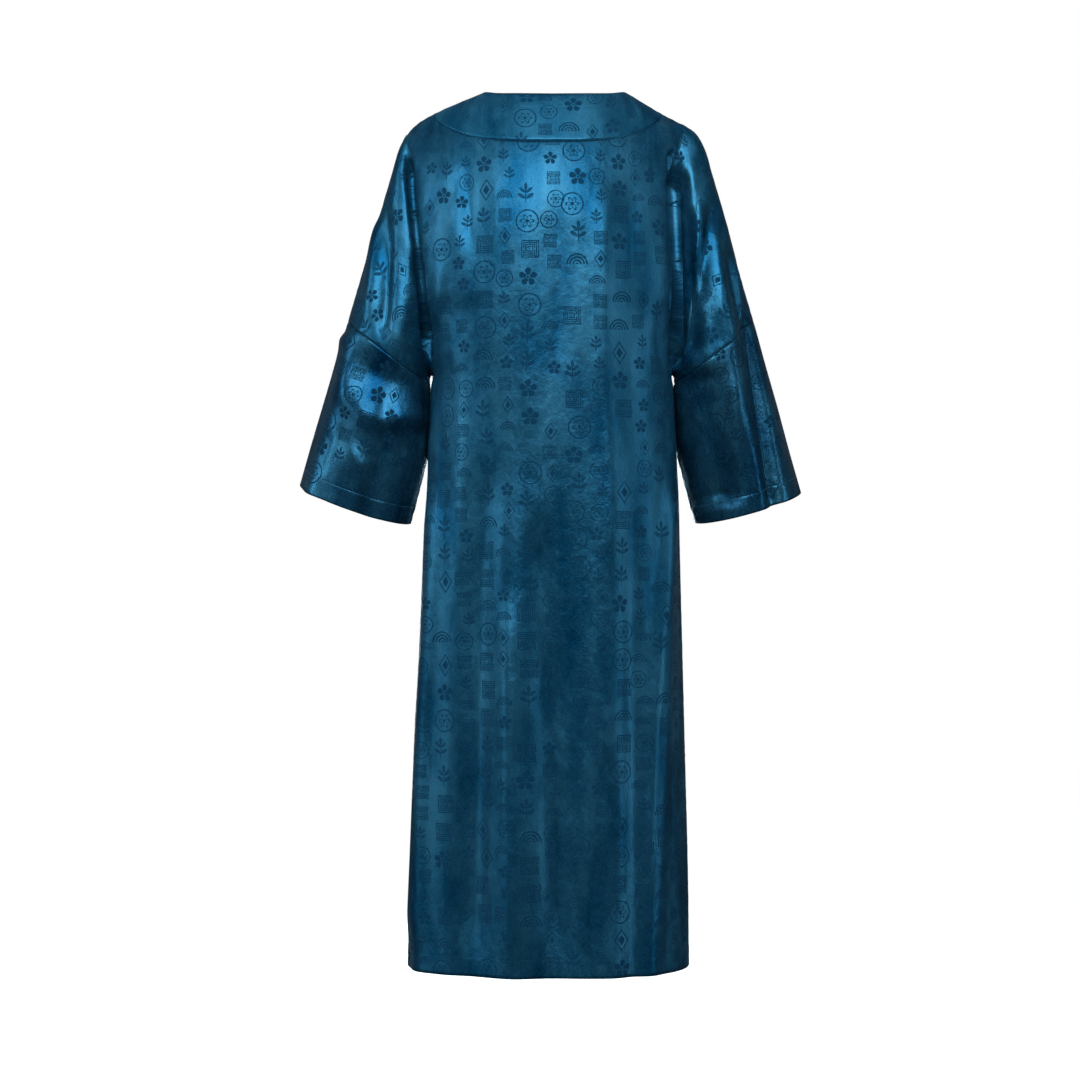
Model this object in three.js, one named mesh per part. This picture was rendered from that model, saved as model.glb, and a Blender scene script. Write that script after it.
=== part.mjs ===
// Robe coat: a long coat of satin, worn open, with wide upper sleeves cut in one with the body,
// lower sleeves sewn on above the elbow and a broad band round the neck and down both front edges.
// Millimetres, +Z up. The wearer faces -Y, so the wearer's left is +X. The origin lies between the
// shoulders, where the wearer carries the coat. Every piece is a wall of cloth that keeps the hollow,
// filled-out form of the garment.
import * as THREE from 'three';

// Driving dimensions
const clothWall = 2;
const seamGap = 0.3;
const armpitUp = -336;
const hemUp = -1136;
const hemRise = 4; // how far the hem lifts at the side seams
const backRoll = 220; // how far below the shoulder line the back has its full depth
const frontRoll = 200;
const armpitArch = 5; // how far the cloth arches up between the body and the sleeve at the armpit
const armholeDepth = 44; // half the depth of the armhole at its fold
const armholeReach = 1.4; // more keeps the fold's draw nearer to the armhole
const frontEdgeOut = 12; // from the middle to each front edge, below the neck
const mergeStep = 1e-3;
const onTheLine = 0.01; // a point this near below the shoulder line lies on it

// How finely the pieces are divided
const bodyRows = 12; // hem to armpit
const chestRows = 12; // armpit to shoulder, and half way round a sleeve
const bandColumns = 10; // along half of the back neckband
const shoulderColumns = 10; // neckband to armhole fold
const upperSleeveColumns = 7;
const lowerSleeveRows = 9;
const frontBandColumns = 3;
const neckbandRows = 3;

// The shoulder and overarm line, from the virtual middle of the neck out to the sleeve seam
const shoulderLine = [
  { up: 82, left: 0, right: 0, back: 0 },
  { up: 73, left: 50, right: 52, back: 0 },
  { up: 50, left: 93, right: 100, back: 0 },
  { up: 38, left: 122, right: 120.5, back: 0 },
  { up: 27, left: 147.5, right: 138.5, back: 0 },
  { up: 16, left: 170, right: 158.5, back: 0 },
  { up: 5, left: 186, right: 180, back: 0 },
  { up: -7, left: 197, right: 196, back: 0 },
  { up: -29, left: 208, right: 208, back: 0 },
  { up: -60, left: 217, right: 217, back: 0 },
  { up: -109, left: 232, right: 232, back: -5 },
  { up: -174, left: 252, right: 250, back: -10 },
  { up: -260, left: 278, right: 275, back: -15 },
];
const neckCornerUp = 50;
const bandSeamUp = 20; // where the neckband's seam crosses the shoulder line

// Half the body's width to each side from the armpit down
const bodyWidths = [
  { up: -336, left: 162, right: 162 },
  { up: -400, left: 164.5, right: 165 },
  { up: -446, left: 167.5, right: 168.5 },
  { up: -484, left: 169.5, right: 171 },
  { up: -585, left: 174.5, right: 173.5 },
  { up: -720, left: 180.5, right: 177 },
  { up: -857, left: 186, right: 180.5 },
  { up: -993, left: 191, right: 184 },
  { up: -1136, left: 196, right: 186 },
];

// How far the middle of the back and of the front lie from the side line, and how square the level
// section between them is: power 2 would make it an ellipse
const bodyDepths = [
  { up: 90, back: 116, front: 96, power: 2.5 },
  { up: 10, back: 122, front: 102, power: 2.5 },
  { up: -30, back: 126, front: 106, power: 2.5 },
  { up: -100, back: 130, front: 114, power: 2.5 },
  { up: -230, back: 133, front: 123, power: 2.5 },
  { up: -336, back: 133.5, front: 124, power: 2.5 },
  { up: -484, back: 134, front: 125.5, power: 2.45 },
  { up: -720, back: 138, front: 131, power: 2.35 },
  { up: -993, back: 145, front: 138, power: 2.25 },
  { up: -1136, back: 149, front: 142, power: 2.2 },
];

// The fold where each upper sleeve leaves the body, up to where it crosses the shoulder line
const armholeFolds = {
  left: { topUp: -8, line: [{ up: -336, out: 162 }, { up: -231, out: 174 }, { up: -95, out: 190 }] },
  right: { topUp: 7, line: [{ up: -336, out: 162 }, { up: -230, out: 166 }, { up: -60, out: 166.5 }] },
};

// The neckband's seam across the back and its neck edge, as shares of the way out to the shoulder line
const backBandSeam = [
  { share: 0, up: -27 },
  { share: 0.3, up: -26 },
  { share: 0.6, up: -20 },
  { share: 0.81, up: -8 },
  { share: 0.93, up: 5 },
  { share: 1, up: 20 },
];
const backNeckEdge = [
  { share: 0, up: 40.5 },
  { share: 0.5, up: 42 },
  { share: 0.8, up: 44.5 },
  { share: 1, up: 50 },
];

// The front band above the armpit: its neck edge and its seam
const frontBandLines = [
  { up: -336, edge: 12, seam: 84 },
  { up: -260, edge: 13, seam: 88 },
  { up: -200, edge: 27, seam: 102 },
  { up: -100, edge: 56, seam: 129 },
  { up: -30, edge: 76, seam: 147 },
  { up: 50, edge: 98, seam: 166 },
];

// The lower sleeves' inner and outer lines, from the seam (reach 1) to the cuff (reach 2)
const sleeveLines = {
  left: [
    { reach: 1, innerOut: 167, innerBack: -4, innerUp: -343, outerOut: 278, outerBack: -15, outerUp: -260 },
    { reach: 1.25, innerOut: 168, innerBack: -13, innerUp: -395, outerOut: 295, outerBack: -20, outerUp: -316 },
    { reach: 1.5, innerOut: 171, innerBack: -23, innerUp: -446, outerOut: 312, outerBack: -26, outerUp: -371 },
    { reach: 1.75, innerOut: 181, innerBack: -31, innerUp: -490, outerOut: 329, outerBack: -32, outerUp: -427 },
    { reach: 2, innerOut: 193, innerBack: -38, innerUp: -534, outerOut: 345, outerBack: -38, outerUp: -482 },
  ],
  right: [
    { reach: 1, innerOut: 167, innerBack: -4, innerUp: -343, outerOut: 275, outerBack: -15, outerUp: -260 },
    { reach: 1.25, innerOut: 168.5, innerBack: -13, innerUp: -395, outerOut: 291, outerBack: -20, outerUp: -318 },
    { reach: 1.5, innerOut: 172.5, innerBack: -23, innerUp: -446, outerOut: 308, outerBack: -26, outerUp: -376 },
    { reach: 1.75, innerOut: 183, innerBack: -31, innerUp: -490, outerOut: 324, outerBack: -32, outerUp: -434 },
    { reach: 2, innerOut: 195.5, innerBack: -38, innerUp: -533, outerOut: 341, outerBack: -38, outerUp: -492 },
  ],
};

// The lower sleeves' half depth, and how far each ring tips down at the back, in degrees
const sleeveRings = [
  { reach: 1, halfDepth: 66, left: 4, right: 4 },
  { reach: 1.25, halfDepth: 70, left: 5.5, right: 5.5 },
  { reach: 1.5, halfDepth: 72, left: 7, right: 6.5 },
  { reach: 1.75, halfDepth: 74, left: 8, right: 7 },
  { reach: 2, halfDepth: 75, left: 8.5, right: 7.5 },
];

// Soft folds of the body: where round it each lies at the armpit and at the hem (0 is the middle of
// the back, 90 the left side, 180 the front), its half width in degrees, how far it stands out, and
// the heights between which it grows from nothing to its full size
const bodyFolds = [
  { atArmpit: 30, atHem: 33, halfWidth: 10, rise: -8, starts: -250, full: -800 },
  { atArmpit: 12, atHem: 13, halfWidth: 8, rise: 7, starts: -420, full: -900 },
  { atArmpit: 1, atHem: 0, halfWidth: 8, rise: -6, starts: -380, full: -850 },
  { atArmpit: -20, atHem: -23, halfWidth: 9, rise: 6, starts: -300, full: -800 },
  { atArmpit: -34, atHem: -33, halfWidth: 6, rise: -5, starts: -360, full: -700 },
  { atArmpit: -70, atHem: -41, halfWidth: 7, rise: 7, starts: -380, full: -620 },
  { atArmpit: 66, atHem: 63, halfWidth: 8, rise: 6, starts: -400, full: -800 },
  { atArmpit: 122, atHem: 118, halfWidth: 10, rise: -8, starts: -300, full: -780 },
  { atArmpit: 142, atHem: 140, halfWidth: 8, rise: 7, starts: -240, full: -760 },
  { atArmpit: 218, atHem: 223, halfWidth: 9, rise: 7, starts: -260, full: -820 },
  { atArmpit: 238, atHem: 245, halfWidth: 9, rise: -8, starts: -320, full: -700 },
];

// Folds along the sleeves. Reach is 0 at the armhole fold, 1 at the sleeve seam, 2 at the cuff.
// Turn is 0 at the underarm, 90 at the back, 180 along the overarm and 270 at the front.
const sleeveFolds = [
  { side: 'right', fromReach: 0.3, fromTurn: 150, toReach: 2, toTurn: 118, halfWidth: 10, rise: -8 },
  { side: 'right', fromReach: 0.5, fromTurn: 124, toReach: 1.7, toTurn: 92, halfWidth: 9, rise: 4 },
  { side: 'right', fromReach: 0.4, fromTurn: 240, toReach: 2, toTurn: 250, halfWidth: 12, rise: -6 },
  { side: 'left', fromReach: 0.3, fromTurn: 128, toReach: 1, toTurn: 96, halfWidth: 10, rise: -5 },
  { side: 'left', fromReach: 1, fromTurn: 132, toReach: 2, toTurn: 140, halfWidth: 12, rise: 5 },
  { side: 'left', fromReach: 1.1, fromTurn: 84, toReach: 2, toTurn: 76, halfWidth: 12, rise: -6 },
  { side: 'left', fromReach: 0.4, fromTurn: 236, toReach: 2, toTurn: 230, halfWidth: 12, rise: -6 },
];

const clamp = THREE.MathUtils.clamp;
const lerp = THREE.MathUtils.lerp;
const radians = THREE.MathUtils.degToRad;
const degrees = THREE.MathUtils.radToDeg;
const smooth = (from, to, at) => {
  const t = clamp((at - from) / (to - from), 0, 1);
  return t * t * (3 - 2 * t);
};

// One column of a table read at any height or reach, as a smooth curve through its rows
function read(table, key, at, column) {
  const rows = table[0][key] < table[table.length - 1][key] ? table : [...table].reverse();
  const last = rows.length - 1;
  const place = clamp(at, rows[0][key], rows[last][key]);
  let i = 0;
  while (i < last - 1 && place > rows[i + 1][key]) i += 1;
  const slope = (a, b) => (rows[b][column] - rows[a][column]) / (rows[b][key] - rows[a][key]);
  const tangent = (k) => slope(Math.max(k - 1, 0), Math.min(k + 1, last));
  const span = rows[i + 1][key] - rows[i][key];
  const t = (place - rows[i][key]) / span;
  const from = rows[i][column] * (2 * t ** 3 - 3 * t * t + 1);
  const to = rows[i + 1][column] * (3 * t * t - 2 * t ** 3);
  const leave = tangent(i) * span * (t ** 3 - 2 * t * t + t);
  const arrive = tangent(i + 1) * span * (t ** 3 - t * t);
  return from + to + leave + arrive;
}

// Each shoulder line as a curve, the share of its length at any height, and what lies over a point
function shoulder(side) {
  const curve = new THREE.CatmullRomCurve3(
    shoulderLine.map((row) => new THREE.Vector3(row[side], row.back, row.up)),
    false,
    'centripetal',
  );
  curve.arcLengthDivisions = 600;
  const solve = (isBefore) => {
    let low = 0;
    let high = 1;
    for (let step = 0; step < 40; step += 1) {
      const middle = (low + high) / 2;
      if (isBefore(curve.getPointAt(middle))) low = middle;
      else high = middle;
    }
    return (low + high) / 2;
  };
  return {
    at: (share) => curve.getPointAt(share),
    shareAtUp: (up) => solve((point) => point.z > up),
    upAtOut: (out) => curve.getPointAt(solve((point) => point.x < out)).z,
  };
}
const shoulders = { left: shoulder('left'), right: shoulder('right') };

// The ends of the neckband and of a front band meet along the shoulder line, from the neck edge out
function bandEnd(side, share) {
  const { at, shareAtUp } = shoulders[side];
  const point = at(lerp(shareAtUp(neckCornerUp), shareAtUp(bandSeamUp), share));
  return { out: point.x, up: point.z };
}

// The armhole fold, a closed loop from the armpit over the shoulder and back, half of it behind
function armhole(side) {
  const { topUp, line: lower } = armholeFolds[side];
  const topShare = shoulders[side].shareAtUp(topUp);
  const top = shoulders[side].at(topShare);
  const line = [...lower, { up: top.z, out: top.x }];
  const outAt = (up) => read(line, 'up', up, 'out');
  const turnAt = (up) => Math.acos(clamp(1 - (2 * (up - armpitUp)) / (top.z - armpitUp), -1, 1));
  const upAt = (turn) => lerp(armpitUp, top.z, (1 - Math.cos(turn)) / 2);
  const depthAt = (turn) => armholeDepth * Math.max(Math.sin(turn), 0) ** lerp(1.1, 0.6, turn / Math.PI);
  return { topShare, top, outAt, turnAt, upAt, depthAt };
}
const armholes = { left: armhole('left'), right: armhole('right') };

// Half the width of the body's cloth at any height, out to the side line or the armhole fold
function bodyHalf(side, up) {
  return up <= armpitUp ? read(bodyWidths, 'up', up, side) : armholes[side].outAt(up);
}

// How far the body lies behind or before the side line, at a point of its back or front view
function bodyDepth(side, face, out, up) {
  const middle = read(bodyDepths, 'up', up, face);
  const power = read(bodyDepths, 'up', up, 'power');
  const share = clamp(out / bodyHalf(side, up), 0, 1);
  const round = (1 - share ** power) ** (1 / power);
  if (up <= armpitUp) return middle * round;
  const hole = armholes[side];
  const roll = face === 'back' ? backRoll : frontRoll;
  const drop = shoulders[side].upAtOut(out) - up;
  const sunk = drop < onTheLine ? 0 : Math.min(drop / roll, 1);
  const full = middle * Math.sqrt(1 - (1 - sunk) ** 2);
  const fold = hole.depthAt(hole.turnAt(up));
  return full * round + fold * (1 - round) ** armholeReach;
}

// Where round the body a point lies, in degrees from the middle of the back
function roundBody(side, face, out, up) {
  const power = read(bodyDepths, 'up', up, 'power');
  const quarter = degrees(Math.asin(clamp(out / bodyHalf(side, up), 0, 1) ** (power / 2)));
  const turn = face === 'back' ? quarter : 180 - quarter;
  return side === 'left' ? turn : 360 - turn;
}

function bodyFoldRise(turn, up) {
  let rise = 0;
  for (const fold of bodyFolds) {
    const middle = lerp(fold.atArmpit, fold.atHem, (armpitUp - up) / (armpitUp - hemUp));
    const apart = ((turn - middle + 540) % 360) - 180;
    const grown = smooth(fold.starts, fold.full, up);
    rise += fold.rise * grown * Math.exp(-((apart / fold.halfWidth) ** 2));
  }
  return rise;
}

function sleeveFoldRise(side, reach, turn) {
  let rise = 0;
  for (const fold of sleeveFolds) {
    if (fold.side !== side) continue;
    const along = (reach - fold.fromReach) / (fold.toReach - fold.fromReach);
    const middle = lerp(fold.fromTurn, fold.toTurn, along);
    const open = fold.toReach === 2 ? 1 : 1 - smooth(0.7, 1.1, along);
    const grown = smooth(-0.05, 0.3, along) * open;
    rise += fold.rise * grown * Math.exp(-(((turn - middle) / fold.halfWidth) ** 2));
  }
  return rise;
}

const flipX = (side) => (side === 'left' ? 1 : -1);

// A point of the body's cloth, with how far its folds lift it
function bodyPoint(side, face, out, up) {
  const depth = bodyDepth(side, face, out, up) * (face === 'back' ? 1 : -1);
  const calm = 1 - smooth(0.8, 1, out / armholes[side].outAt(up)) * smooth(armpitUp - 60, armpitUp, up);
  const lift = bodyFoldRise(roundBody(side, face, out, up), up) * calm;
  return { place: new THREE.Vector3(flipX(side) * out, depth, up), lift };
}

// A point of a sleeve's cloth: rings fan out from the armpit to the seam, then run on to the cuff
function sleevePoint(side, reach, turn) {
  const face = turn <= Math.PI ? 1 : -1;
  const half = turn <= Math.PI ? turn : 2 * Math.PI - turn;
  const across = (1 - Math.cos(half)) / 2;
  const hole = armholes[side];
  const at = Math.max(reach, 1);
  const get = (column) => read(sleeveLines[side], 'reach', at, column);
  const inner = new THREE.Vector3(get('innerOut'), get('innerBack'), get('innerUp'));
  const outer = new THREE.Vector3(get('outerOut'), get('outerBack'), get('outerUp'));
  const halfDepth = read(sleeveRings, 'reach', at, 'halfDepth');
  let depth = halfDepth * Math.sin(half);
  let tilt = read(sleeveRings, 'reach', at, side);
  if (reach < 1) {
    const armpit = new THREE.Vector3(hole.outAt(armpitUp), 0, armpitUp);
    inner.lerpVectors(armpit, inner, reach);
    inner.z += armpitArch * Math.sin(reach * Math.PI);
    outer.copy(shoulders[side].at(lerp(hole.topShare, 1, reach)));
    tilt *= reach;
    const swell = Math.sin((reach * Math.PI) / 2) ** 0.8;
    const round = Math.max(Math.sin(half), 0) ** lerp(lerp(1.1, 0.6, half / Math.PI), 1, reach);
    depth = lerp(hole.depthAt(half), halfDepth * round, swell);
  }
  const place = new THREE.Vector3().lerpVectors(inner, outer, across);
  if (reach < 1) {
    const straight = lerp(hole.outAt(armpitUp), hole.top.x, across);
    place.x += (hole.outAt(hole.upAt(half)) - straight) * (1 - reach) ** 2;
  }
  place.y += face * depth * Math.cos(radians(tilt));
  place.z -= face * depth * Math.sin(radians(tilt));
  place.x *= flipX(side);
  return { place, lift: reach > 0 ? sleeveFoldRise(side, reach, degrees(turn)) : 0 };
}

const steps = (count) => Array.from({ length: count + 1 }, (_, i) => i / count);

// The chest's panel edges, row by row from the armpit up: its inner line and its armhole fold
function chestRow(side, face, row) {
  const hole = armholes[side];
  const share = row / chestRows;
  const outerUp = hole.upAt(share * Math.PI);
  const outerOut = row === chestRows ? hole.top.x : hole.outAt(outerUp);
  if (face === 'back') {
    return { innerOut: 0, innerUp: lerp(armpitUp, backBandSeam[0].up, share), outerOut, outerUp };
  }
  const top = bandEnd(side, 1);
  const innerUp = lerp(armpitUp, top.up, share);
  const innerOut = row === chestRows ? top.out : read(frontBandLines, 'up', innerUp, 'seam');
  return { innerOut, innerUp, outerOut, outerUp };
}

// How far out the columns of a body panel lie on its level section at the armpit or below
function sectionOut(side, face, column, up) {
  const half = bodyHalf(side, up);
  const power = read(bodyDepths, 'up', up, 'power');
  const seam = read(frontBandLines, 'up', up, 'seam');
  const first = face === 'back' ? 0 : Math.asin((seam / half) ** (power / 2));
  const count = face === 'back' ? bandColumns + shoulderColumns : shoulderColumns;
  const quarter = lerp(first, Math.PI / 2, column / count);
  return half * Math.sin(quarter) ** (2 / power);
}

// The top edge of a chest panel: the neckband's seam on the back, then the shoulder line
function chestTop(side, face, column) {
  const onBand = face === 'back' ? bandColumns : 0;
  if (column < onBand) {
    const share = Math.sin((column / onBand) * Math.PI * 0.5) ** 0.9;
    return { out: bandEnd(side, 1).out * share, up: read(backBandSeam, 'share', share, 'up') };
  }
  const { at, shareAtUp } = shoulders[side];
  const share = (column - onBand) / shoulderColumns;
  const point = at(lerp(shareAtUp(bandSeamUp), armholes[side].topShare, share));
  return { out: point.x, up: point.z };
}

// A chest panel's grid, from its middle outwards and from the armpit up, blended from its four edges
function chestGrid(side, face) {
  const count = face === 'back' ? bandColumns + shoulderColumns : shoulderColumns;
  const lowest = chestRow(side, face, 0);
  const highest = chestRow(side, face, chestRows);
  return Array.from({ length: chestRows + 1 }, (_, row) => {
    const v = row / chestRows;
    const ends = chestRow(side, face, row);
    return Array.from({ length: count + 1 }, (__, column) => {
      const low = sectionOut(side, face, column, armpitUp);
      const u = (low - lowest.innerOut) / (lowest.outerOut - lowest.innerOut);
      const high = chestTop(side, face, column);
      const cornersOut = lerp(
        lerp(lowest.innerOut, lowest.outerOut, u),
        lerp(highest.innerOut, highest.outerOut, u),
        v,
      );
      const cornersUp = lerp(
        lerp(lowest.innerUp, lowest.outerUp, u),
        lerp(highest.innerUp, highest.outerUp, u),
        v,
      );
      const out = lerp(low, high.out, v) + lerp(ends.innerOut, ends.outerOut, u) - cornersOut;
      const up = lerp(armpitUp, high.up, v) + lerp(ends.innerUp, ends.outerUp, u) - cornersUp;
      return bodyPoint(side, face, out, up);
    });
  });
}

function skirtGrid(side, face) {
  const count = face === 'back' ? bandColumns + shoulderColumns : shoulderColumns;
  return steps(bodyRows).map((share) =>
    Array.from({ length: count + 1 }, (_, column) => {
      const up = lerp(hemUp + hemRise * (column / count) ** 4, armpitUp, share);
      return bodyPoint(side, face, sectionOut(side, face, column, up), up);
    }));
}

// The grown-on upper sleeve, rows from the underarm up to the overarm, columns outwards
function upperSleeveGrid(side, face) {
  return steps(chestRows).map((rowShare) => {
    const half = rowShare * Math.PI;
    const turn = face === 'back' ? half : 2 * Math.PI - half;
    return steps(upperSleeveColumns).map((reach) => sleevePoint(side, reach, turn));
  });
}

// Rows from the cuff up to the seam, columns from the underarm over the back to the front
function lowerSleeveGrid(side) {
  return steps(lowerSleeveRows).map((share) =>
    steps(2 * chestRows).map((turn) => sleevePoint(side, 2 - share, turn * 2 * Math.PI)));
}

function neckbandGrid(side) {
  const corner = bandEnd(side, 0);
  const outer = bandEnd(side, 1);
  return steps(neckbandRows).map((share) => {
    const end = bandEnd(side, 1 - share);
    return Array.from({ length: bandColumns + 1 }, (_, column) => {
      const seam = chestTop(side, 'back', column);
      const along = seam.out / outer.out;
      const last = column === bandColumns;
      const edgeOut = last ? corner.out : corner.out * along ** 0.9;
      const edgeUp = last ? corner.up : read(backNeckEdge, 'share', along ** 0.9, 'up');
      const out = lerp(seam.out, edgeOut, share) + (end.out - lerp(outer.out, corner.out, share)) * along ** 2;
      const up = lerp(seam.up, edgeUp, share) + (end.up - lerp(outer.up, corner.up, share)) * along ** 2;
      return bodyPoint(side, 'back', out, up);
    });
  });
}

function frontBandGrid(side) {
  const skirt = steps(bodyRows).slice(0, -1).map((share) => {
    const up = lerp(hemUp, armpitUp, share);
    return { edgeOut: frontEdgeOut, edgeUp: up, seamOut: sectionOut(side, 'front', 0, up), seamUp: up };
  });
  const chest = steps(chestRows).slice(0, -1).map((share, row) => {
    const seam = chestRow(side, 'front', row);
    const edgeUp = lerp(armpitUp, bandEnd(side, 0).up, share);
    const edgeOut = read(frontBandLines, 'up', edgeUp, 'edge');
    return { edgeOut, edgeUp, seamOut: seam.innerOut, seamUp: seam.innerUp };
  });
  const rows = [...skirt, ...chest].map(({ edgeOut, edgeUp, seamOut, seamUp }) =>
    steps(frontBandColumns).map((share) =>
      bodyPoint(side, 'front', lerp(edgeOut, seamOut, share), lerp(edgeUp, seamUp, share))));
  const top = steps(frontBandColumns).map((share) => {
    const end = bandEnd(side, share);
    return bodyPoint(side, 'front', end.out, end.up);
  });
  return [...rows, top];
}

// A grid that runs outwards faces forward on the left and backward on the right when it is turned
const turned = (grid) => grid.map((row) => [...row].reverse());
const outward = (grid, side, face) => ((side === 'left') === (face === 'back') ? turned(grid) : grid);

function bothHalves(makeGrid) {
  return ['left', 'right'].map((side) => outward(makeGrid(side), side, 'back'));
}

function panelGrids(makers, sides, face) {
  return sides.flatMap((side) => makers.map((make) => outward(make(side, face), side, face)));
}

// The back and each front are one cut piece from the shoulder to the hem. Each is two solids, parted
// level with the armpit where no seam shows, so that both of them bend more simply.
function panelPieces(name, colour, sides, face) {
  return [
    { name, colour, grids: panelGrids([chestGrid, upperSleeveGrid], sides, face) },
    { name: `${name}_skirt`, colour, grids: panelGrids([skirtGrid], sides, face) },
  ];
}

const pieces = [
  ...panelPieces('back', 0x17587f, ['left', 'right'], 'back'),
  ...panelPieces('front_left', 0x15547b, ['left'], 'front'),
  ...panelPieces('front_right', 0x15547b, ['right'], 'front'),
  { name: 'neckband_back', colour: 0x1a5c84, grids: bothHalves(neckbandGrid) },
  { name: 'front_band_left', colour: 0x1a5c84, grids: [outward(frontBandGrid('left'), 'left', 'front')] },
  { name: 'front_band_right', colour: 0x1a5c84, grids: [outward(frontBandGrid('right'), 'right', 'front')] },
  { name: 'sleeve_left', colour: 0x124d73, grids: [outward(lowerSleeveGrid('left'), 'left', 'back')] },
  { name: 'sleeve_right', colour: 0x124d73, grids: [outward(lowerSleeveGrid('right'), 'right', 'back')] },
];

// Points of neighbouring pieces that lie on the same seam share one key, and so one normal
const keyOf = (place) => place.toArray().map((value) => Math.round(value / mergeStep)).join(' ');

function weave(piece) {
  const points = new Map();
  const faces = [];
  for (const grid of piece.grids) {
    const keys = grid.map((row) => row.map((point) => {
      const key = keyOf(point.place);
      if (!points.has(key)) points.set(key, point);
      return key;
    }));
    for (let row = 0; row + 1 < keys.length; row += 1) {
      for (let column = 0; column + 1 < keys[row].length; column += 1) {
        const corners = [
          keys[row][column], keys[row][column + 1], keys[row + 1][column + 1], keys[row + 1][column],
        ];
        const ring = corners.filter((key, i) => key !== corners[(i + 3) % 4]);
        if (ring.length > 2) faces.push(ring);
      }
    }
  }
  return { ...piece, points, faces };
}

// The cloth's outward direction at every point, taken over all the pieces that meet there
function normalsOver(woven, placeOf) {
  const normals = new Map();
  for (const { faces } of woven) {
    for (const face of faces) {
      const normal = new THREE.Vector3();
      face.forEach((key, i) => {
        normal.add(placeOf(key).clone().cross(placeOf(face[(i + 1) % face.length])));
      });
      for (const key of face) {
        if (!normals.has(key)) normals.set(key, new THREE.Vector3());
        normals.get(key).add(normal);
      }
    }
  }
  for (const normal of normals.values()) normal.normalize();
  return normals;
}

// The edges of a piece that no second face shares, each with the face on its left
function borderOf(faces) {
  const edges = new Set();
  for (const face of faces) {
    face.forEach((key, i) => edges.add(`${key}|${face[(i + 1) % face.length]}`));
  }
  return [...edges].map((edge) => edge.split('|')).filter(([a, b]) => !edges.has(`${b}|${a}`));
}

// Draws the border in by half the seam's gap, along the cloth
function drawnIn(border, placeOf, normals) {
  const pulls = new Map();
  for (const [a, b] of border) {
    for (const key of [a, b]) {
      const run = placeOf(b).clone().sub(placeOf(a));
      const inward = normals.get(key).clone().cross(run).normalize();
      pulls.set(key, [...(pulls.get(key) ?? []), inward]);
    }
  }
  const moved = new Map();
  for (const [key, [first, second]] of pulls) {
    const corner = Math.max(1 + first.dot(second), 0.5);
    const pull = first.clone().add(second).multiplyScalar(seamGap / 2 / corner);
    moved.set(key, placeOf(key).clone().add(pull));
  }
  return (key) => moved.get(key) ?? placeOf(key);
}

// Makes the wall: an outer and an inner skin half its thickness to each side, joined round the border
function wallGeometry({ faces }, placeOf, normals) {
  const border = borderOf(faces);
  const middleOf = drawnIn(border, placeOf, normals);
  const numbers = new Map();
  const positions = [];
  for (const key of new Set(faces.flat())) {
    numbers.set(key, numbers.size * 2);
    for (const half of [clothWall / 2, -clothWall / 2]) {
      positions.push(...middleOf(key).clone().addScaledVector(normals.get(key), half).toArray());
    }
  }
  const indices = [];
  const addRing = (ring) => {
    for (let i = 1; i + 1 < ring.length; i += 1) indices.push(ring[0], ring[i], ring[i + 1]);
  };
  for (const face of faces) {
    const outer = face.map((key) => numbers.get(key));
    addRing(outer);
    const inner = outer.map((number) => number + 1);
    addRing([inner[0], ...inner.slice(1).reverse()]);
  }
  for (const [a, b] of border) {
    const [from, to] = [numbers.get(a), numbers.get(b)];
    // both pieces at a seam split a twisted edge the same way
    addRing(a < b ? [from, from + 1, to + 1, to] : [to, from, from + 1, to + 1]);
  }
  const geometry = new THREE.BufferGeometry();
  geometry.setAttribute('position', new THREE.Float32BufferAttribute(positions, 3));
  geometry.setIndex(indices);
  geometry.computeVertexNormals();
  return geometry;
}

function makeCoat() {
  const woven = pieces.map(weave);
  const points = new Map(woven.flatMap((piece) => [...piece.points]));
  const flatNormals = normalsOver(woven, (key) => points.get(key).place);
  const lifted = new Map();
  for (const [key, { place, lift }] of points) {
    const level = flatNormals.get(key).clone().setZ(0).normalize();
    lifted.set(key, place.clone().addScaledVector(level, lift));
  }
  const placeOf = (key) => lifted.get(key);
  const normals = normalsOver(woven, placeOf);
  const coat = new THREE.Group();
  for (const piece of woven) {
    const cloth = new THREE.MeshStandardMaterial({ color: piece.colour, roughness: 0.38, metalness: 0.1 });
    const mesh = new THREE.Mesh(wallGeometry(piece, placeOf, normals), cloth);
    mesh.name = piece.name;
    coat.add(mesh);
  }
  return coat;
}

export default makeCoat();
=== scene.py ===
# Robe coat of figured satin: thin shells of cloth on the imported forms, with their folds and sewing
import math

import bmesh
import bpy
import numpy as np
from mathutils import Matrix, Vector


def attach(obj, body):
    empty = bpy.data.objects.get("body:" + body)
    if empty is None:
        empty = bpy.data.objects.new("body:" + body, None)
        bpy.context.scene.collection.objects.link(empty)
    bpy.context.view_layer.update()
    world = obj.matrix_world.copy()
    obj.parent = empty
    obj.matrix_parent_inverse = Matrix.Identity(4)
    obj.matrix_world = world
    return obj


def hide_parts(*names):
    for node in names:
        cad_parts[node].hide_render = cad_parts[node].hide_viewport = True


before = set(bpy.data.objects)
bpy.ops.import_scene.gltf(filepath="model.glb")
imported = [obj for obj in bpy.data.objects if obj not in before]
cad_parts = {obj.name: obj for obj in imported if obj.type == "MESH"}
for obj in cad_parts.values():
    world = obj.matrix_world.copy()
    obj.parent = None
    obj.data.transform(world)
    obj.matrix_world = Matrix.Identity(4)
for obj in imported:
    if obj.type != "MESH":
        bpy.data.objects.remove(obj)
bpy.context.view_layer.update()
scene = bpy.context.scene
metre = 0.001  # the form is in millimetres


def table(columns, *rows):
    return [dict(zip(columns, row)) for row in rows]


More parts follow.
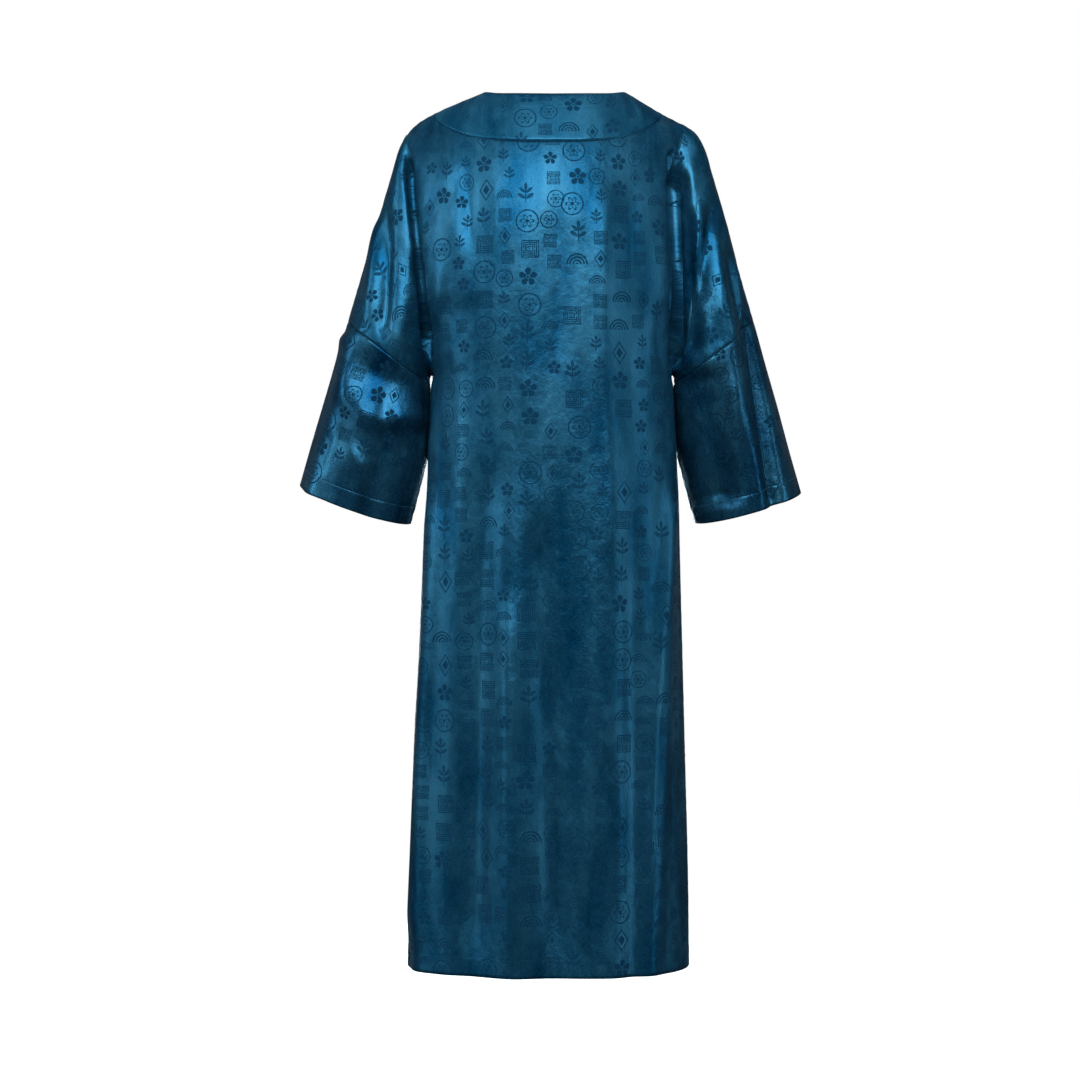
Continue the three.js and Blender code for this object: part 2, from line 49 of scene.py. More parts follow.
# The coat's form
coat = {
    "armpitUp": -336.0,
    "hemUp": -1136.0,
    "hemRise": 4.0,
    "backRoll": 220.0,
    "frontRoll": 200.0,
    "armpitArch": 5.0,
    "armholeDepth": 44.0,
    "armholeReach": 1.4,
    "lowReach": (7, 110),  # more at the armpit, and how far up that fades out
    "foldPower": (1.1, 0.6),  # of an armhole's fold, at the armpit and at the top
    "swellPower": 0.8,
    "seamCalm": (0.8, 60),  # no folds beside the armhole, and how far below the armpit that begins
    "frontEdgeOut": 12.0,
    "neckCornerUp": 50.0,
    "bandSeamUp": 20.0,
    "bandShare": 0.5,  # how much of a back panel's top lies along the neckband
    "bandEven": 0.9,  # evens out the spacing along the neckband
    "clothThick": 0.9,
    "weld": 0.02,
    "sliver": 1e-4,
}
shoulderLine = {
    "up": [82, 73, 50, 38, 27, 16, 5, -7, -29, -60, -109, -174, -260],
    "left": [0, 50, 93, 122, 147.5, 170, 186, 197, 208, 217, 232, 252, 278],
    "right": [0, 52, 100, 120.5, 138.5, 158.5, 180, 196, 208, 217, 232, 250, 275],
    "back": [0, 0, 0, 0, 0, 0, 0, 0, 0, 0, -5, -10, -15],
}
bodyWidths = {
    "up": [-1136, -993, -857, -720, -585, -484, -446, -400, -336],
    "left": [196, 191, 186, 180.5, 174.5, 169.5, 167.5, 164.5, 162],
    "right": [186, 184, 180.5, 177, 173.5, 171, 168.5, 165, 162],
}
bodyDepths = {
    "up": [-1136, -993, -720, -484, -336, -230, -100, -30, 10, 90],
    "back": [149, 145, 138, 134, 133.5, 133, 130, 126, 122, 116],
    "front": [142, 138, 131, 125.5, 124, 123, 114, 106, 102, 96],
    "power": [2.2, 2.25, 2.35, 2.45, 2.5, 2.5, 2.5, 2.5, 2.5, 2.5],
}
armholeFolds = {
    "left": {"topUp": -8, "up": [-336, -231, -95], "out": [162, 174, 190]},
    "right": {"topUp": 7, "up": [-336, -230, -60], "out": [162, 166, 166.5]},
}
backBandSeam = {"share": [0, 0.3, 0.6, 0.81, 0.93, 1], "up": [-27, -26, -20, -8, 5, 20]}
backNeckEdge = {"share": [0, 0.5, 0.8, 1], "up": [40.5, 42, 44.5, 50]}
frontBandLines = {
    "up": [-336, -260, -200, -100, -30, 50],
    "edge": [12, 13, 27, 56, 76, 98],
    "seam": [84, 88, 102, 129, 147, 166],
}
sleeveReach = [1, 1.25, 1.5, 1.75, 2]
sleeveLines = {
    "left": {
        "innerOut": [167, 168, 171, 181, 193],
        "innerUp": [-343, -395, -446, -490, -534],
        "outerOut": [278, 295, 312, 329, 345],
        "outerUp": [-260, -316, -371, -427, -482],
    },
    "right": {
        "innerOut": [167, 168.5, 172.5, 183, 195.5],
        "innerUp": [-343, -395, -446, -490, -533],
        "outerOut": [275, 291, 308, 324, 341],
        "outerUp": [-260, -318, -376, -434, -492],
    },
}
for lines in sleeveLines.values():
    lines.update(reach=sleeveReach, innerBack=[-4, -13, -23, -31, -38], outerBack=[-15, -20, -26, -32, -38])
sleeveRings = {
    "reach": sleeveReach,
    "halfDepth": [66, 70, 72, 74, 75],
    "left": [4, 5.5, 7, 8, 8.5],
    "right": [4, 5.5, 6.5, 7, 7.5],
}

# Folds of the body, by degrees round it from the middle of the back, over its left side, to the front
bodyFolds = table(
    ("atArmpit", "atHem", "halfWidth", "rise", "starts", "full"),
    (30, 33, 10, -8, -250, -800),
    (12, 13, 8, 7, -420, -900),
    (1, 0, 8, -6, -380, -850),
    (-20, -23, 9, 6, -300, -800),
    (-34, -33, 6, -5, -360, -700),
    (-70, -41, 7, 7, -380, -620),
    (66, 63, 8, 6, -400, -800),
    (122, 118, 10, -8, -300, -780),
    (142, 140, 8, 7, -240, -760),
    (218, 223, 9, 7, -260, -820),
    (238, 245, 9, -8, -320, -700),
)
# Folds along the sleeves: reach 0 at the armhole, 1 at the seam, 2 at the cuff; turn 90 is the back
sleeveFolds = table(
    ("side", "reach", "turn", "halfWidth", "rise"),
    ('right', (0.3, 2), (150, 118), 10, -8),
    ('right', (0.5, 1.7), (124, 92), 9, 4),
    ('right', (0.4, 2), (240, 250), 12, -6),
    ('left', (0.3, 1), (128, 96), 10, -5),
    ('left', (1, 2), (132, 140), 12, 5),
    ('left', (1.1, 2), (84, 76), 12, -6),
    ('left', (0.4, 2), (236, 230), 12, -6),
)
sleeveFoldEnds = {"comes": (-0.05, 0.3), "goes": (0.7, 1.1)}  # shares of a fold's length
# Creases drawn on the cloth as seen square on from behind or in front: how far out to the wearer's
# left and how far up each runs. A positive rise is a ridge. Ends fade over the given share. The fronts
# and the front of the sleeves are plainer than the back.
creases = {
    "back": table(
        ("halfWidth", "rise", "fade", "path"),
        (5, -16, 0.16, [(197, -16), (190, -95), (181, -170), (172, -240), (165, -330)]),
        (6, -13, 0.05, [(-162, -26), (-167, -90), (-168, -200), (-166, -330)]),
        (15, -12, 0.12, [(-170, -50), (-178, -130), (-184, -220), (-184, -320)]),
        (9, 6, 0.4, [(-184, -28), (-187, -90), (-182, -150)]),
        # left upper sleeve: a ridge with a trough on its inner side
        (8, 4.5, 0.25, [(236, -90), (243, -198), (249, -249), (254, -280)]),
        (9, -5, 0.2, [(226, -90), (226, -170), (224, -240), (226, -285)]),
        (8, 4, 0.3, [(196, -60), (192, -130), (184, -200)]),
        # left lower sleeve: the crescent below the hollow
        (17, 7, 0.08, [
            (280, -270), (275, -300), (279, -330), (276, -360),
            (254, -388), (226, -398), (196, -392), (170, -380),
        ]),
        (12, 3, 0.4, [(286, -420), (262, -452), (232, -470)]),
        (9, -3, 0.3, [(300, -400), (310, -440), (322, -480)]),
        # right upper sleeve
        (8, -6, 0.25, [(-216, -85), (-211, -150), (-203, -205), (-202, -250)]),
        (8, 4, 0.3, [(-200, -95), (-194, -150), (-188, -200)]),
        (9, 4, 0.25, [(-228, -110), (-226, -180), (-224, -240), (-228, -290)]),
        (5, 4, 0.25, [(-246, -170), (-251, -220), (-257, -270)]),
        (7, -7, 0.08, [
            (-256, -160), (-260, -210), (-264, -258), (-276, -340),
            (-287, -422), (-296, -492), (-301, -530),
        ]),
        (11, 3, 0.2, [(-246, -310), (-258, -380), (-272, -450), (-284, -530)]),
        (26, -12, 0.12, [(-200, -320), (-212, -400), (-222, -470), (-226, -520)]),
        # back: the draws below the shoulders and the long soft ridges of the body
        (9, -3.5, 0.35, [(113, -60), (112, -110), (111, -180)]),
        (11, -3, 0.3, [(190, -150), (150, -110), (116, -66)]),
        (9, 3.5, 0.3, [(148, -180), (152, -230), (158, -280)]),
        (13, 4, 0.2, [(-66, -60), (-68, -180), (-68, -330), (-76, -470), (-80, -640)]),
        (18, -3.5, 0.3, [(-100, -60), (-104, -200), (-104, -330)]),
        (16, 2.5, 0.3, [(40, -60), (34, -200), (26, -330), (30, -460)]),
        (14, -2.2, 0.3, [(-2, -70), (-10, -220), (-14, -360)]),
        (11, 6, 0.1, [(160, -480), (164, -690), (174, -800), (182, -980), (190, -1120)]),
        (10, 4.5, 0.15, [(-162, -460), (-155, -585), (-144, -690), (-136, -800), (-124, -1020)]),
        (12, 5, 0.15, [(60, -620), (58, -860), (55, -1060), (54, -1150)]),
        (20, -8, 0.12, [(84, -430), (96, -620), (103, -930), (104, -1130)]),
        (16, -7, 0.15, [(24, -500), (14, -640), (0, -930), (-2, -1130)]),
        (14, -3.5, 0.25, [(-70, -800), (-74, -960), (-82, -1110)]),
        (16, -3, 0.3, [(136, -300), (142, -420), (146, -560)]),
    ),
    "front": table(
        ("halfWidth", "rise", "fade", "path"),
            (7, -9, 0.08, [(186, -30), (184, -110), (178, -200), (168, -320)]),
        (7, -8, 0.08, [(-176, -30), (-178, -110), (-176, -200), (-168, -320)]),
        (10, -5, 0.25, [(232, -100), (240, -190), (248, -260)]),
        (10, -5, 0.25, [(-226, -100), (-236, -190), (-246, -270)]),
        (9, 4, 0.3, [(212, -90), (214, -170), (212, -260)]),
        (9, 4, 0.3, [(-208, -110), (-212, -180), (-214, -250)]),
        (13, -5, 0.25, [(266, -300), (276, -370), (288, -450)]),
        (12, -5, 0.25, [(-256, -300), (-270, -380), (-284, -470)]),
        (16, 4, 0.3, [(220, -330), (206, -400), (204, -460)]),
        (16, 4, 0.3, [(-214, -340), (-212, -410), (-222, -480)]),
        (14, -4, 0.3, [(150, -90), (124, -150), (104, -240)]),
        (14, -4, 0.3, [(-142, -100), (-118, -170), (-100, -260)]),
        (16, -6, 0.2, [(120, -430), (126, -640), (134, -880), (138, -1110)]),
        (15, -6, 0.2, [(-112, -420), (-120, -660), (-130, -900), (-132, -1110)]),
        (13, 4, 0.2, [(160, -520), (170, -760), (182, -1100)]),
        (13, 4, 0.2, [(-156, -500), (-164, -760), (-172, -1100)]),
        (12, 4, 0.2, [(92, -620), (90, -860), (92, -1120)]),
        (12, 4, 0.2, [(-86, -700), (-88, -900), (-94, -1120)]),
    ),
}
# Soft hollows and swellings: middle, half sizes along and across, lean in degrees, rise
dents = {
    "back": table(
        ("out", "up", "long", "wide", "lean", "rise"),
        (104, -130, 70, 20, 2, -6),
        (222, -338, 52, 30, 68, -12),
        (-105, -88, 44, 30, 60, -5.5),
        (-136, -28, 34, 14, -20, 3),
        (-236, -232, 52, 18, 6, 3),
        (150, -90, 44, 20, -18, 3),
        (200, -250, 50, 14, -8, 3),
        (70, -420, 90, 30, 10, -3),
        (-110, -480, 90, 26, -6, 3),
        (-186, -400, 60, 16, -8, -4),
    ),
    "front": table(
        ("out", "up", "long", "wide", "lean", "rise"),
        (222, -345, 46, 26, 66, -7),
        (-216, -350, 44, 24, -64, -6),
        (110, -330, 80, 26, 8, -3),
        (-120, -360, 80, 24, -8, -3),
    ),
}


def lerp(start, end, share):
    return start + (end - start) * share


def smooth(start, end, at):
    t = np.clip((at - start) / (end - start), 0, 1)
    return t * t * (3 - 2 * t)


def hump(apart, halfWidth):
    return np.exp(-((apart / halfWidth) ** 2))


def runAlong(line):  # how far along it each point of a line lies
    return np.concatenate([[0], np.cumsum(np.linalg.norm(np.diff(line, axis=0), axis=1))])


def read(lines, key, at, column):  # a smooth curve through one column of a table
    keys, values = np.array(lines[key], float), np.array(lines[column], float)
    last = len(keys) - 1
    at = np.clip(at, keys[0], keys[-1])
    i = np.clip(np.searchsorted(keys, at, side="left") - 1, 0, last - 1)
    ahead, behind = np.minimum(np.arange(last + 1) + 1, last), np.maximum(np.arange(last + 1) - 1, 0)
    slopes = (values[ahead] - values[behind]) / (keys[ahead] - keys[behind])
    span = keys[i + 1] - keys[i]
    t = (at - keys[i]) / span
    start = values[i] * (2 * t**3 - 3 * t**2 + 1) + slopes[i] * span * (t**3 - 2 * t**2 + t)
    return start + values[i + 1] * (3 * t**2 - 2 * t**3) + slopes[i + 1] * span * (t**3 - t**2)


def curveThrough(points, perSpan=400):  # an even curve that slows round close points
    points = [2 * points[0] - points[1], *points, 2 * points[-1] - points[-2]]
    t = np.linspace(0, 1, perSpan, endpoint=False)[:, None]
    runs = []
    for a, b, c, d in zip(points, points[1:], points[2:], points[3:]):
        ab, bc, cd = (np.linalg.norm(q - p) ** 0.5 for p, q in ((a, b), (b, c), (c, d)))
        leave = ((b - a) / ab - (c - a) / (ab + bc) + (c - b) / bc) * bc
        arrive = ((c - b) / bc - (d - b) / (bc + cd) + (d - c) / cd) * bc
        bend = -3 * b + 3 * c - 2 * leave - arrive
        runs.append(b + leave * t + bend * t**2 + (2 * b - 2 * c + leave + arrive) * t**3)
    return np.vstack([*runs, points[-2][None]])


def shoulder(side):
    rows = zip(shoulderLine[side], shoulderLine["back"], shoulderLine["up"])
    line = curveThrough([np.array(row, float) for row in rows])
    length = runAlong(line)
    share = length / length[-1]
    return {
        "at": lambda s: np.stack([np.interp(s, share, line[:, i]) for i in range(3)], -1),
        "shareAtUp": lambda up: np.interp(-np.asarray(up, float), -line[:, 2], share),
        "upAtOut": lambda out: np.interp(out, line[:, 0], line[:, 2]),
    }


flipX = {"left": 1, "right": -1}
nearEnd = 0.9999
shoulders = {side: shoulder(side) for side in flipX}


def foldPower(turn):
    return lerp(*coat["foldPower"], turn / math.pi)


def bandEnd(side, share):
    line = shoulders[side]
    point = line["at"](lerp(line["shareAtUp"](coat["neckCornerUp"]), line["shareAtUp"](coat["bandSeamUp"]), share))
    return point[..., 0], point[..., 2]


def armhole(side):
    topShare = shoulders[side]["shareAtUp"](armholeFolds[side]["topUp"])
    top = shoulders[side]["at"](topShare)
    line = {"up": [*armholeFolds[side]["up"], top[2]], "out": [*armholeFolds[side]["out"], top[0]]}
    reach = top[2] - coat["armpitUp"]
    return {
        "topShare": topShare,
        "top": top,
        "outAt": lambda up: read(line, "up", up, "out"),
        "turnAt": lambda up: np.arccos(np.clip(1 - 2 * (up - coat["armpitUp"]) / reach, -1, 1)),
        "upAt": lambda turn: coat["armpitUp"] + reach * (1 - np.cos(turn)) / 2,
        "depthAt": lambda turn: coat["armholeDepth"] * np.maximum(np.sin(turn), 0) ** foldPower(turn),
    }


armholes = {side: armhole(side) for side in flipX}


def bodyHalf(side, up):
    return np.where(up <= coat["armpitUp"], read(bodyWidths, "up", up, side), armholes[side]["outAt"](up))


def bodyDepth(side, face, out, up):  # how far the cloth lies behind or before the side line
    middle, power = read(bodyDepths, "up", up, face), read(bodyDepths, "up", up, "power")
    share = np.clip(out / bodyHalf(side, up), 0, 1)
    round_ = (1 - share**power) ** (1 / power)
    drop = shoulders[side]["upAtOut"](out) - up
    sunk = np.where(drop < 0.01, 0, np.minimum(drop / coat[face + "Roll"], 1))
    full = middle * np.sqrt(1 - (1 - sunk) ** 2)
    fold = armholes[side]["depthAt"](armholes[side]["turnAt"](up))
    more, fades = coat["lowReach"]
    reach = coat["armholeReach"] + more * (1 - smooth(coat["armpitUp"], coat["armpitUp"] + fades, up))
    chest = full * round_ + fold * (1 - round_) ** reach
    return np.where(up <= coat["armpitUp"], middle * round_, chest)


def roundBody(side, face, out, up):  # degrees from the middle of the back
    power = read(bodyDepths, "up", up, "power")
    quarter = np.degrees(np.arcsin(np.clip(out / bodyHalf(side, up), 0, 1) ** (power / 2)))
    turn = quarter if face == "back" else 180 - quarter
    return turn if side == "left" else 360 - turn


def bodyFoldRise(turn, up):
    rise, down = 0, (coat["armpitUp"] - up) / (coat["armpitUp"] - coat["hemUp"])
    for fold in bodyFolds:
        apart = (turn - lerp(fold["atArmpit"], fold["atHem"], down) + 540) % 360 - 180
        grown = smooth(fold["starts"], fold["full"], up)
        rise = rise + fold["rise"] * grown * hump(apart, fold["halfWidth"])
    return rise


def sleeveFoldRise(side, reach, turn):
    rise = 0
    for fold in sleeveFolds:
        if fold["side"] == side:
            first, last = fold["reach"]
            along = (reach - first) / (last - first)
            left = 1 if last == 2 else 1 - smooth(*sleeveFoldEnds["goes"], along)
            grown = smooth(*sleeveFoldEnds["comes"], along) * left
            apart = turn - lerp(*fold["turn"], along)
            rise = rise + fold["rise"] * grown * hump(apart, fold["halfWidth"])
    return rise


def bodyPoint(side, face, out, up):
    depth = bodyDepth(side, face, out, up) * (1 if face == "back" else -1)
    first, below = coat["seamCalm"]
    beside = smooth(first, 1, out / armholes[side]["outAt"](up))
    calm = 1 - beside * smooth(coat["armpitUp"] - below, coat["armpitUp"], up)
    lift = bodyFoldRise(roundBody(side, face, out, up), up) * calm
    return np.stack([flipX[side] * out, depth, up], -1), lift


def sleevePoint(side, reach, turn):  # rings fan out from the armpit to the seam, then run on to the cuff
    face = np.where(turn <= math.pi, 1, -1)
    half = np.where(turn <= math.pi, turn, 2 * math.pi - turn)
    across = (1 - np.cos(half)) / 2
    hole, lines, at = armholes[side], sleeveLines[side], np.maximum(reach, 1)
    inner = np.stack([read(lines, "reach", at, "inner" + axis) for axis in ("Out", "Back", "Up")], -1)
    outer = np.stack([read(lines, "reach", at, "outer" + axis) for axis in ("Out", "Back", "Up")], -1)
    halfDepth = read(sleeveRings, "reach", at, "halfDepth")
    tilt = np.radians(read(sleeveRings, "reach", at, side) * np.minimum(reach, 1))
    short = np.minimum(reach, 1)
    upper = reach < 1
    armpit = np.array([hole["outAt"](coat["armpitUp"]), 0, coat["armpitUp"]], float)
    grownInner = lerp(armpit, inner, short[..., None])
    grownInner[..., 2] += coat["armpitArch"] * np.sin(short * math.pi)
    inner = np.where(upper[..., None], grownInner, inner)
    outer = np.where(upper[..., None], shoulders[side]["at"](lerp(hole["topShare"], 1, short)), outer)
    swell = np.sin(short * math.pi / 2) ** coat["swellPower"]
    round_ = np.maximum(np.sin(half), 0) ** lerp(foldPower(half), 1, short)
    depth = np.where(upper, lerp(hole["depthAt"](half), halfDepth * round_, swell), halfDepth * np.sin(half))
    place = lerp(inner, outer, across[..., None])
    straight = lerp(hole["outAt"](coat["armpitUp"]), hole["top"][0], across)
    place[..., 0] += np.where(upper, (hole["outAt"](hole["upAt"](half)) - straight) * (1 - short) ** 2, 0)
    place[..., 1] += face * depth * np.cos(tilt)
    place[..., 2] -= face * depth * np.sin(tilt)
    place[..., 0] *= flipX[side]
    return place, np.where(reach > 0, sleeveFoldRise(side, reach, np.degrees(turn)), 0)


def chestEnds(side, face, share):  # a chest panel's inner line and its armhole fold
    hole = armholes[side]
    outerUp = hole["upAt"](share * math.pi)
    outerOut = hole["outAt"](outerUp)
    if face == "back":
        return 0 * share, lerp(coat["armpitUp"], backBandSeam["up"][0], share), outerOut, outerUp
    topOut, topUp = bandEnd(side, 1)
    innerUp = lerp(coat["armpitUp"], topUp, share)
    innerOut = np.where(share > nearEnd, topOut, read(frontBandLines, "up", innerUp, "seam"))
    return innerOut, innerUp, outerOut, outerUp


def sectionOut(side, face, across, up):
    half, power = bodyHalf(side, up), read(bodyDepths, "up", up, "power")
    first = 0 if face == "back" else np.arcsin((read(frontBandLines, "up", up, "seam") / half) ** (power / 2))
    return half * np.sin(lerp(first, math.pi / 2, across)) ** (2 / power)


def chestTop(side, face, across):
    line = shoulders[side]
    onBand = coat["bandShare"] if face == "back" else 0
    beyond = np.clip((across - onBand) / (1 - onBand), 0, 1)
    rest = line["at"](lerp(line["shareAtUp"](coat["bandSeamUp"]), armholes[side]["topShare"], beyond))
    if face == "front":
        return rest[..., 0], rest[..., 2]
    share = np.sin(np.clip(across / onBand, 0, 1) * math.pi / 2) ** coat["bandEven"]
    onSeam = across < onBand
    return (
        np.where(onSeam, bandEnd(side, 1)[0] * share, rest[..., 0]),
        np.where(onSeam, read(backBandSeam, "share", share, "up"), rest[..., 2]),
    )


def skirtBlock(side, face, a, b):
    up = lerp(coat["hemUp"] + coat["hemRise"] * a**4, coat["armpitUp"], b)
    return bodyPoint(side, face, sectionOut(side, face, a, up), up)


def chestBlock(side, face, a, b):
    low = sectionOut(side, face, a, coat["armpitUp"] + 0 * a)
    innerOut, innerUp, outerOut, outerUp = chestEnds(side, face, b)
    lowIn, lowInUp, lowOut, lowOutUp = chestEnds(side, face, 0 * b)
    topIn, topInUp, topOut, topOutUp = chestEnds(side, face, 0 * b + 1)
    u = (low - lowIn) / (lowOut - lowIn)
    topX, topZ = chestTop(side, face, a)
    out = lerp(low, topX, b) + lerp(innerOut, outerOut, u) - lerp(lerp(lowIn, lowOut, u), lerp(topIn, topOut, u), b)
    corners = lerp(lerp(lowInUp, lowOutUp, u), lerp(topInUp, topOutUp, u), b)
    up = lerp(coat["armpitUp"], topZ, b) + lerp(innerUp, outerUp, u) - corners
    return bodyPoint(side, face, out, up)


def upperSleeveBlock(side, face, a, b):
    return sleevePoint(side, a, b * math.pi if face == "back" else 2 * math.pi - b * math.pi)


def lowerSleeveBlock(side, face, a, b):
    return sleevePoint(side, 2 - b, a * 2 * math.pi)


def neckbandBlock(side, face, a, b):
    cornerOut, cornerUp = bandEnd(side, 0)
    outerOut, outerUp = bandEnd(side, 1)
    endOut, endUp = bandEnd(side, 1 - b)
    seamOut, seamUp = chestTop(side, "back", a * coat["bandShare"])
    along = seamOut / outerOut
    even = along ** coat["bandEven"]
    edgeUp = np.where(a > nearEnd, cornerUp, read(backNeckEdge, "share", even, "up"))
    out = lerp(seamOut, cornerOut * even, b) + (endOut - lerp(outerOut, cornerOut, b)) * along**2
    up = lerp(seamUp, edgeUp, b) + (endUp - lerp(outerUp, cornerUp, b)) * along**2
    return bodyPoint(side, "back", out, up)


def bandSkirtBlock(side, face, a, b):
    up = lerp(coat["hemUp"], coat["armpitUp"], b)
    return bodyPoint(side, "front", lerp(coat["frontEdgeOut"], sectionOut(side, "front", 0 * a, up), a), up)


def bandChestBlock(side, face, a, b):
    seamOut, seamUp, _, _ = chestEnds(side, "front", b)
    edgeUp = lerp(coat["armpitUp"], bandEnd(side, 0)[1], b)
    edgeOut = read(frontBandLines, "up", edgeUp, "edge")
    endOut, endUp = bandEnd(side, a)
    top = b > nearEnd
    out, up = np.where(top, endOut, lerp(edgeOut, seamOut, a)), np.where(top, endUp, lerp(edgeUp, seamUp, a))
    return bodyPoint(side, "front", out, up)


# The maker's pieces: blocks of cloth, with their cells across and up. Sides a0, a1, b0 and b1 of a
# block are sewn or finished edges.
blocks = {
    "skirt": (skirtBlock, 72, 160),
    "chest": (chestBlock, 72, 80),
    "upperSleeve": (upperSleeveBlock, 60, 80),
    "lowerSleeve": (lowerSleeveBlock, 160, 70),
    "neckband": (neckbandBlock, 36, 18),
    "bandSkirt": (bandSkirtBlock, 18, 160),
    "bandChest": (bandChestBlock, 18, 80),
}


def panelSides(face):
    inner = ["a0"] if face == "front" else []
    return {
        "skirt": {"sewn": [*inner, "a1"], "edge": ["b0"]},
        "chest": {"sewn": [*inner, "b1"], "edge": []},
        "upperSleeve": {"sewn": ["a1", "b0", "b1"], "edge": []},
    }


bandSides = {
    "neckband": {"sewn": ["b0", "a1"], "edge": ["b1"]},
    "bandSkirt": {"sewn": ["a1"], "edge": ["a0", "b0"]},
    "bandChest": {"sewn": ["a1", "b1"], "edge": ["a0"]},
}
sleeveSides = {"lowerSleeve": {"sewn": ["b1", "a0", "a1"], "edge": ["b0"]}}
frontBand = {key: bandSides[key] for key in ("bandSkirt", "bandChest")}
neckband = {"neckband": bandSides["neckband"]}
pieceRows = table(
    ("name", "sides", "face", "parts", "slot", "flat", "area"),
    ("back", ["left", "right"], "back", panelSides("back"), "satin", (0.98, 1.2), 0.64),
    ("front_left", ["left"], "front", panelSides("front"), "satin", (0.42, 1.2), 0.205),
    ("front_right", ["right"], "front", panelSides("front"), "satin", (0.42, 1.2), 0.205),
    ("neckband_back", ["left", "right"], "back", neckband, "band_satin", (0.36, 0.08), 0.0265),
    ("front_band_left", ["left"], "front", frontBand, "band_satin", (0.075, 1.23), 0.0885),
    ("front_band_right", ["right"], "front", frontBand, "band_satin", (0.075, 1.23), 0.0885),
    ("sleeve_left", ["left"], "back", sleeveSides, "sleeve_satin", (0.45, 0.24), 0.1),
    ("sleeve_right", ["right"], "back", sleeveSides, "sleeve_satin", (0.45, 0.24), 0.1),
)
pieces = {row["name"]: row for row in pieceRows}
for name in ("back", "front_left", "front_right"):  # two nodes of the frame in one piece of cloth
    pieces[name]["nodes"] = [name, name + "_skirt"]
# The weave's run on the flat pieces. Upper sleeves lean with the grain, round the middle of their outer seam.
grain = {
    "left": (222.5, -301), "right": (221, -301), "run": (0.215, -0.977), "lean": math.radians(45), "girth": 68,
    "upperSleeve": (260, 90), "neckband": 310, "lowerSleeve": 30, "apart": 0.37,
}
measures = ["lift", "seam", "along", "edge", "zone"]  # kept on every point of the cloth
zones = {"left": 1, "right": 2}  # of the sleeves, and 0 on the body
farAway = 400  # stands for no seam or edge nearby


def runLengths(grid, axis):
    steps = np.linalg.norm(np.diff(grid, axis=axis), axis=-1)
    return np.insert(np.cumsum(steps, axis=axis), 0, 0, axis=axis)


def cutPlace(name, side, place, across, up):  # where each point lies on its flat piece
    flip = flipX[side]
    if name in ("skirt", "bandSkirt"):
        return np.stack([flip * across, up - up[-1:]], -1)
    if name in ("chest", "bandChest"):
        return np.stack([flip * across, up], -1)
    if name == "neckband":
        return np.stack([flip * across, up + grain["neckband"]], -1)
    if name == "lowerSleeve":
        return np.stack([flip * (across - 0.5 * across[:, -1:]) + grain["lowerSleeve"], up], -1)
    away = np.stack([flip * place[..., 0] - grain[side][0], place[..., 2] - grain[side][1]], -1)
    runOut, runUp = grain["run"]
    girth = np.arctan2(-away[..., 0] * runUp + away[..., 1] * runOut, np.abs(place[..., 1])) * grain["girth"]
    length = -(away[..., 0] * runOut + away[..., 1] * runUp)
    c, s = math.cos(grain["lean"]), math.sin(grain["lean"])
    shiftOut, shiftUp = grain["upperSleeve"]
    return np.stack([flip * (girth * c - length * s) + shiftOut, girth * s + length * c + shiftUp], -1)


def layBlock(bm, layers, name, side, face, sides, number):
    make, cellsAcross, cellsUp = blocks[name]
    made = bmesh.ops.create_grid(bm, x_segments=cellsAcross, y_segments=cellsUp, size=0.5)["verts"]
    flat = np.array([vert.co[:2] for vert in made]) + 0.5
    order = np.lexsort((flat[:, 0].round(6), flat[:, 1].round(6)))
    shape = (len(np.unique(flat[:, 1].round(6))), len(np.unique(flat[:, 0].round(6))))
    a, b = flat[order, 0].reshape(shape), flat[order, 1].reshape(shape)
    place, lift = make(side, face, a, b)
    lift = lift + 0 * a
    across, up = runLengths(place, 1), runLengths(place, 0)
    gaps = {"a0": across, "a1": across[:, -1:] - across, "b0": up, "b1": up[-1:] - up}
    runs = {"a0": up, "a1": up, "b0": across, "b1": across}
    seam, along, edge = 0 * a + farAway, 0 * a, 0 * a + farAway
    for key in sides["sewn"]:
        along = np.where(gaps[key] < seam, runs[key], along)
        seam = np.minimum(seam, gaps[key])
    for key in sides["edge"]:
        edge = np.minimum(edge, gaps[key])
    cut = cutPlace(name, side, place, across, up) * metre + grain["apart"] * number
    zone = 0 * a + (zones[side] if "Sleeve" in name else 0)
    values = {"lift": lift, "seam": seam, "along": along, "edge": edge, "zone": zone}
    cutOf = {}
    for i, at in enumerate(order):
        vert, row, column = made[at], i // shape[1], i % shape[1]
        vert.co = place[row, column]
        cutOf[vert] = cut[row, column]
        for key in measures:
            vert[layers[key]] = values[key][row, column]
    faces = {linked for vert in made for linked in vert.link_faces}
    for cell in faces:
        cell.material_index = number
        cell.smooth = True
        for loop in cell.loops:
            loop[layers["cut"]].uv = cutOf[loop.vert]
    if (side == "left") == (face == "back"):
        bmesh.ops.reverse_faces(bm, faces=list(faces))


def weaveCoat():
    bm = bmesh.new()
    layers = {key: bm.verts.layers.float.new(key) for key in measures}
    layers["cut"] = bm.loops.layers.uv.new("cut")
    for number, piece in enumerate(pieces.values()):
        for side in piece["sides"]:
            for name, sides in piece["parts"].items():
                layBlock(bm, layers, name, side, piece["face"], sides, number)
    bmesh.ops.remove_doubles(bm, verts=bm.verts, dist=coat["weld"])
    slivers = [cell for cell in bm.faces if cell.calc_area() < coat["sliver"]]
    bmesh.ops.delete(bm, geom=slivers, context="FACES")
    bm.verts.ensure_lookup_table()
    return bm, layers


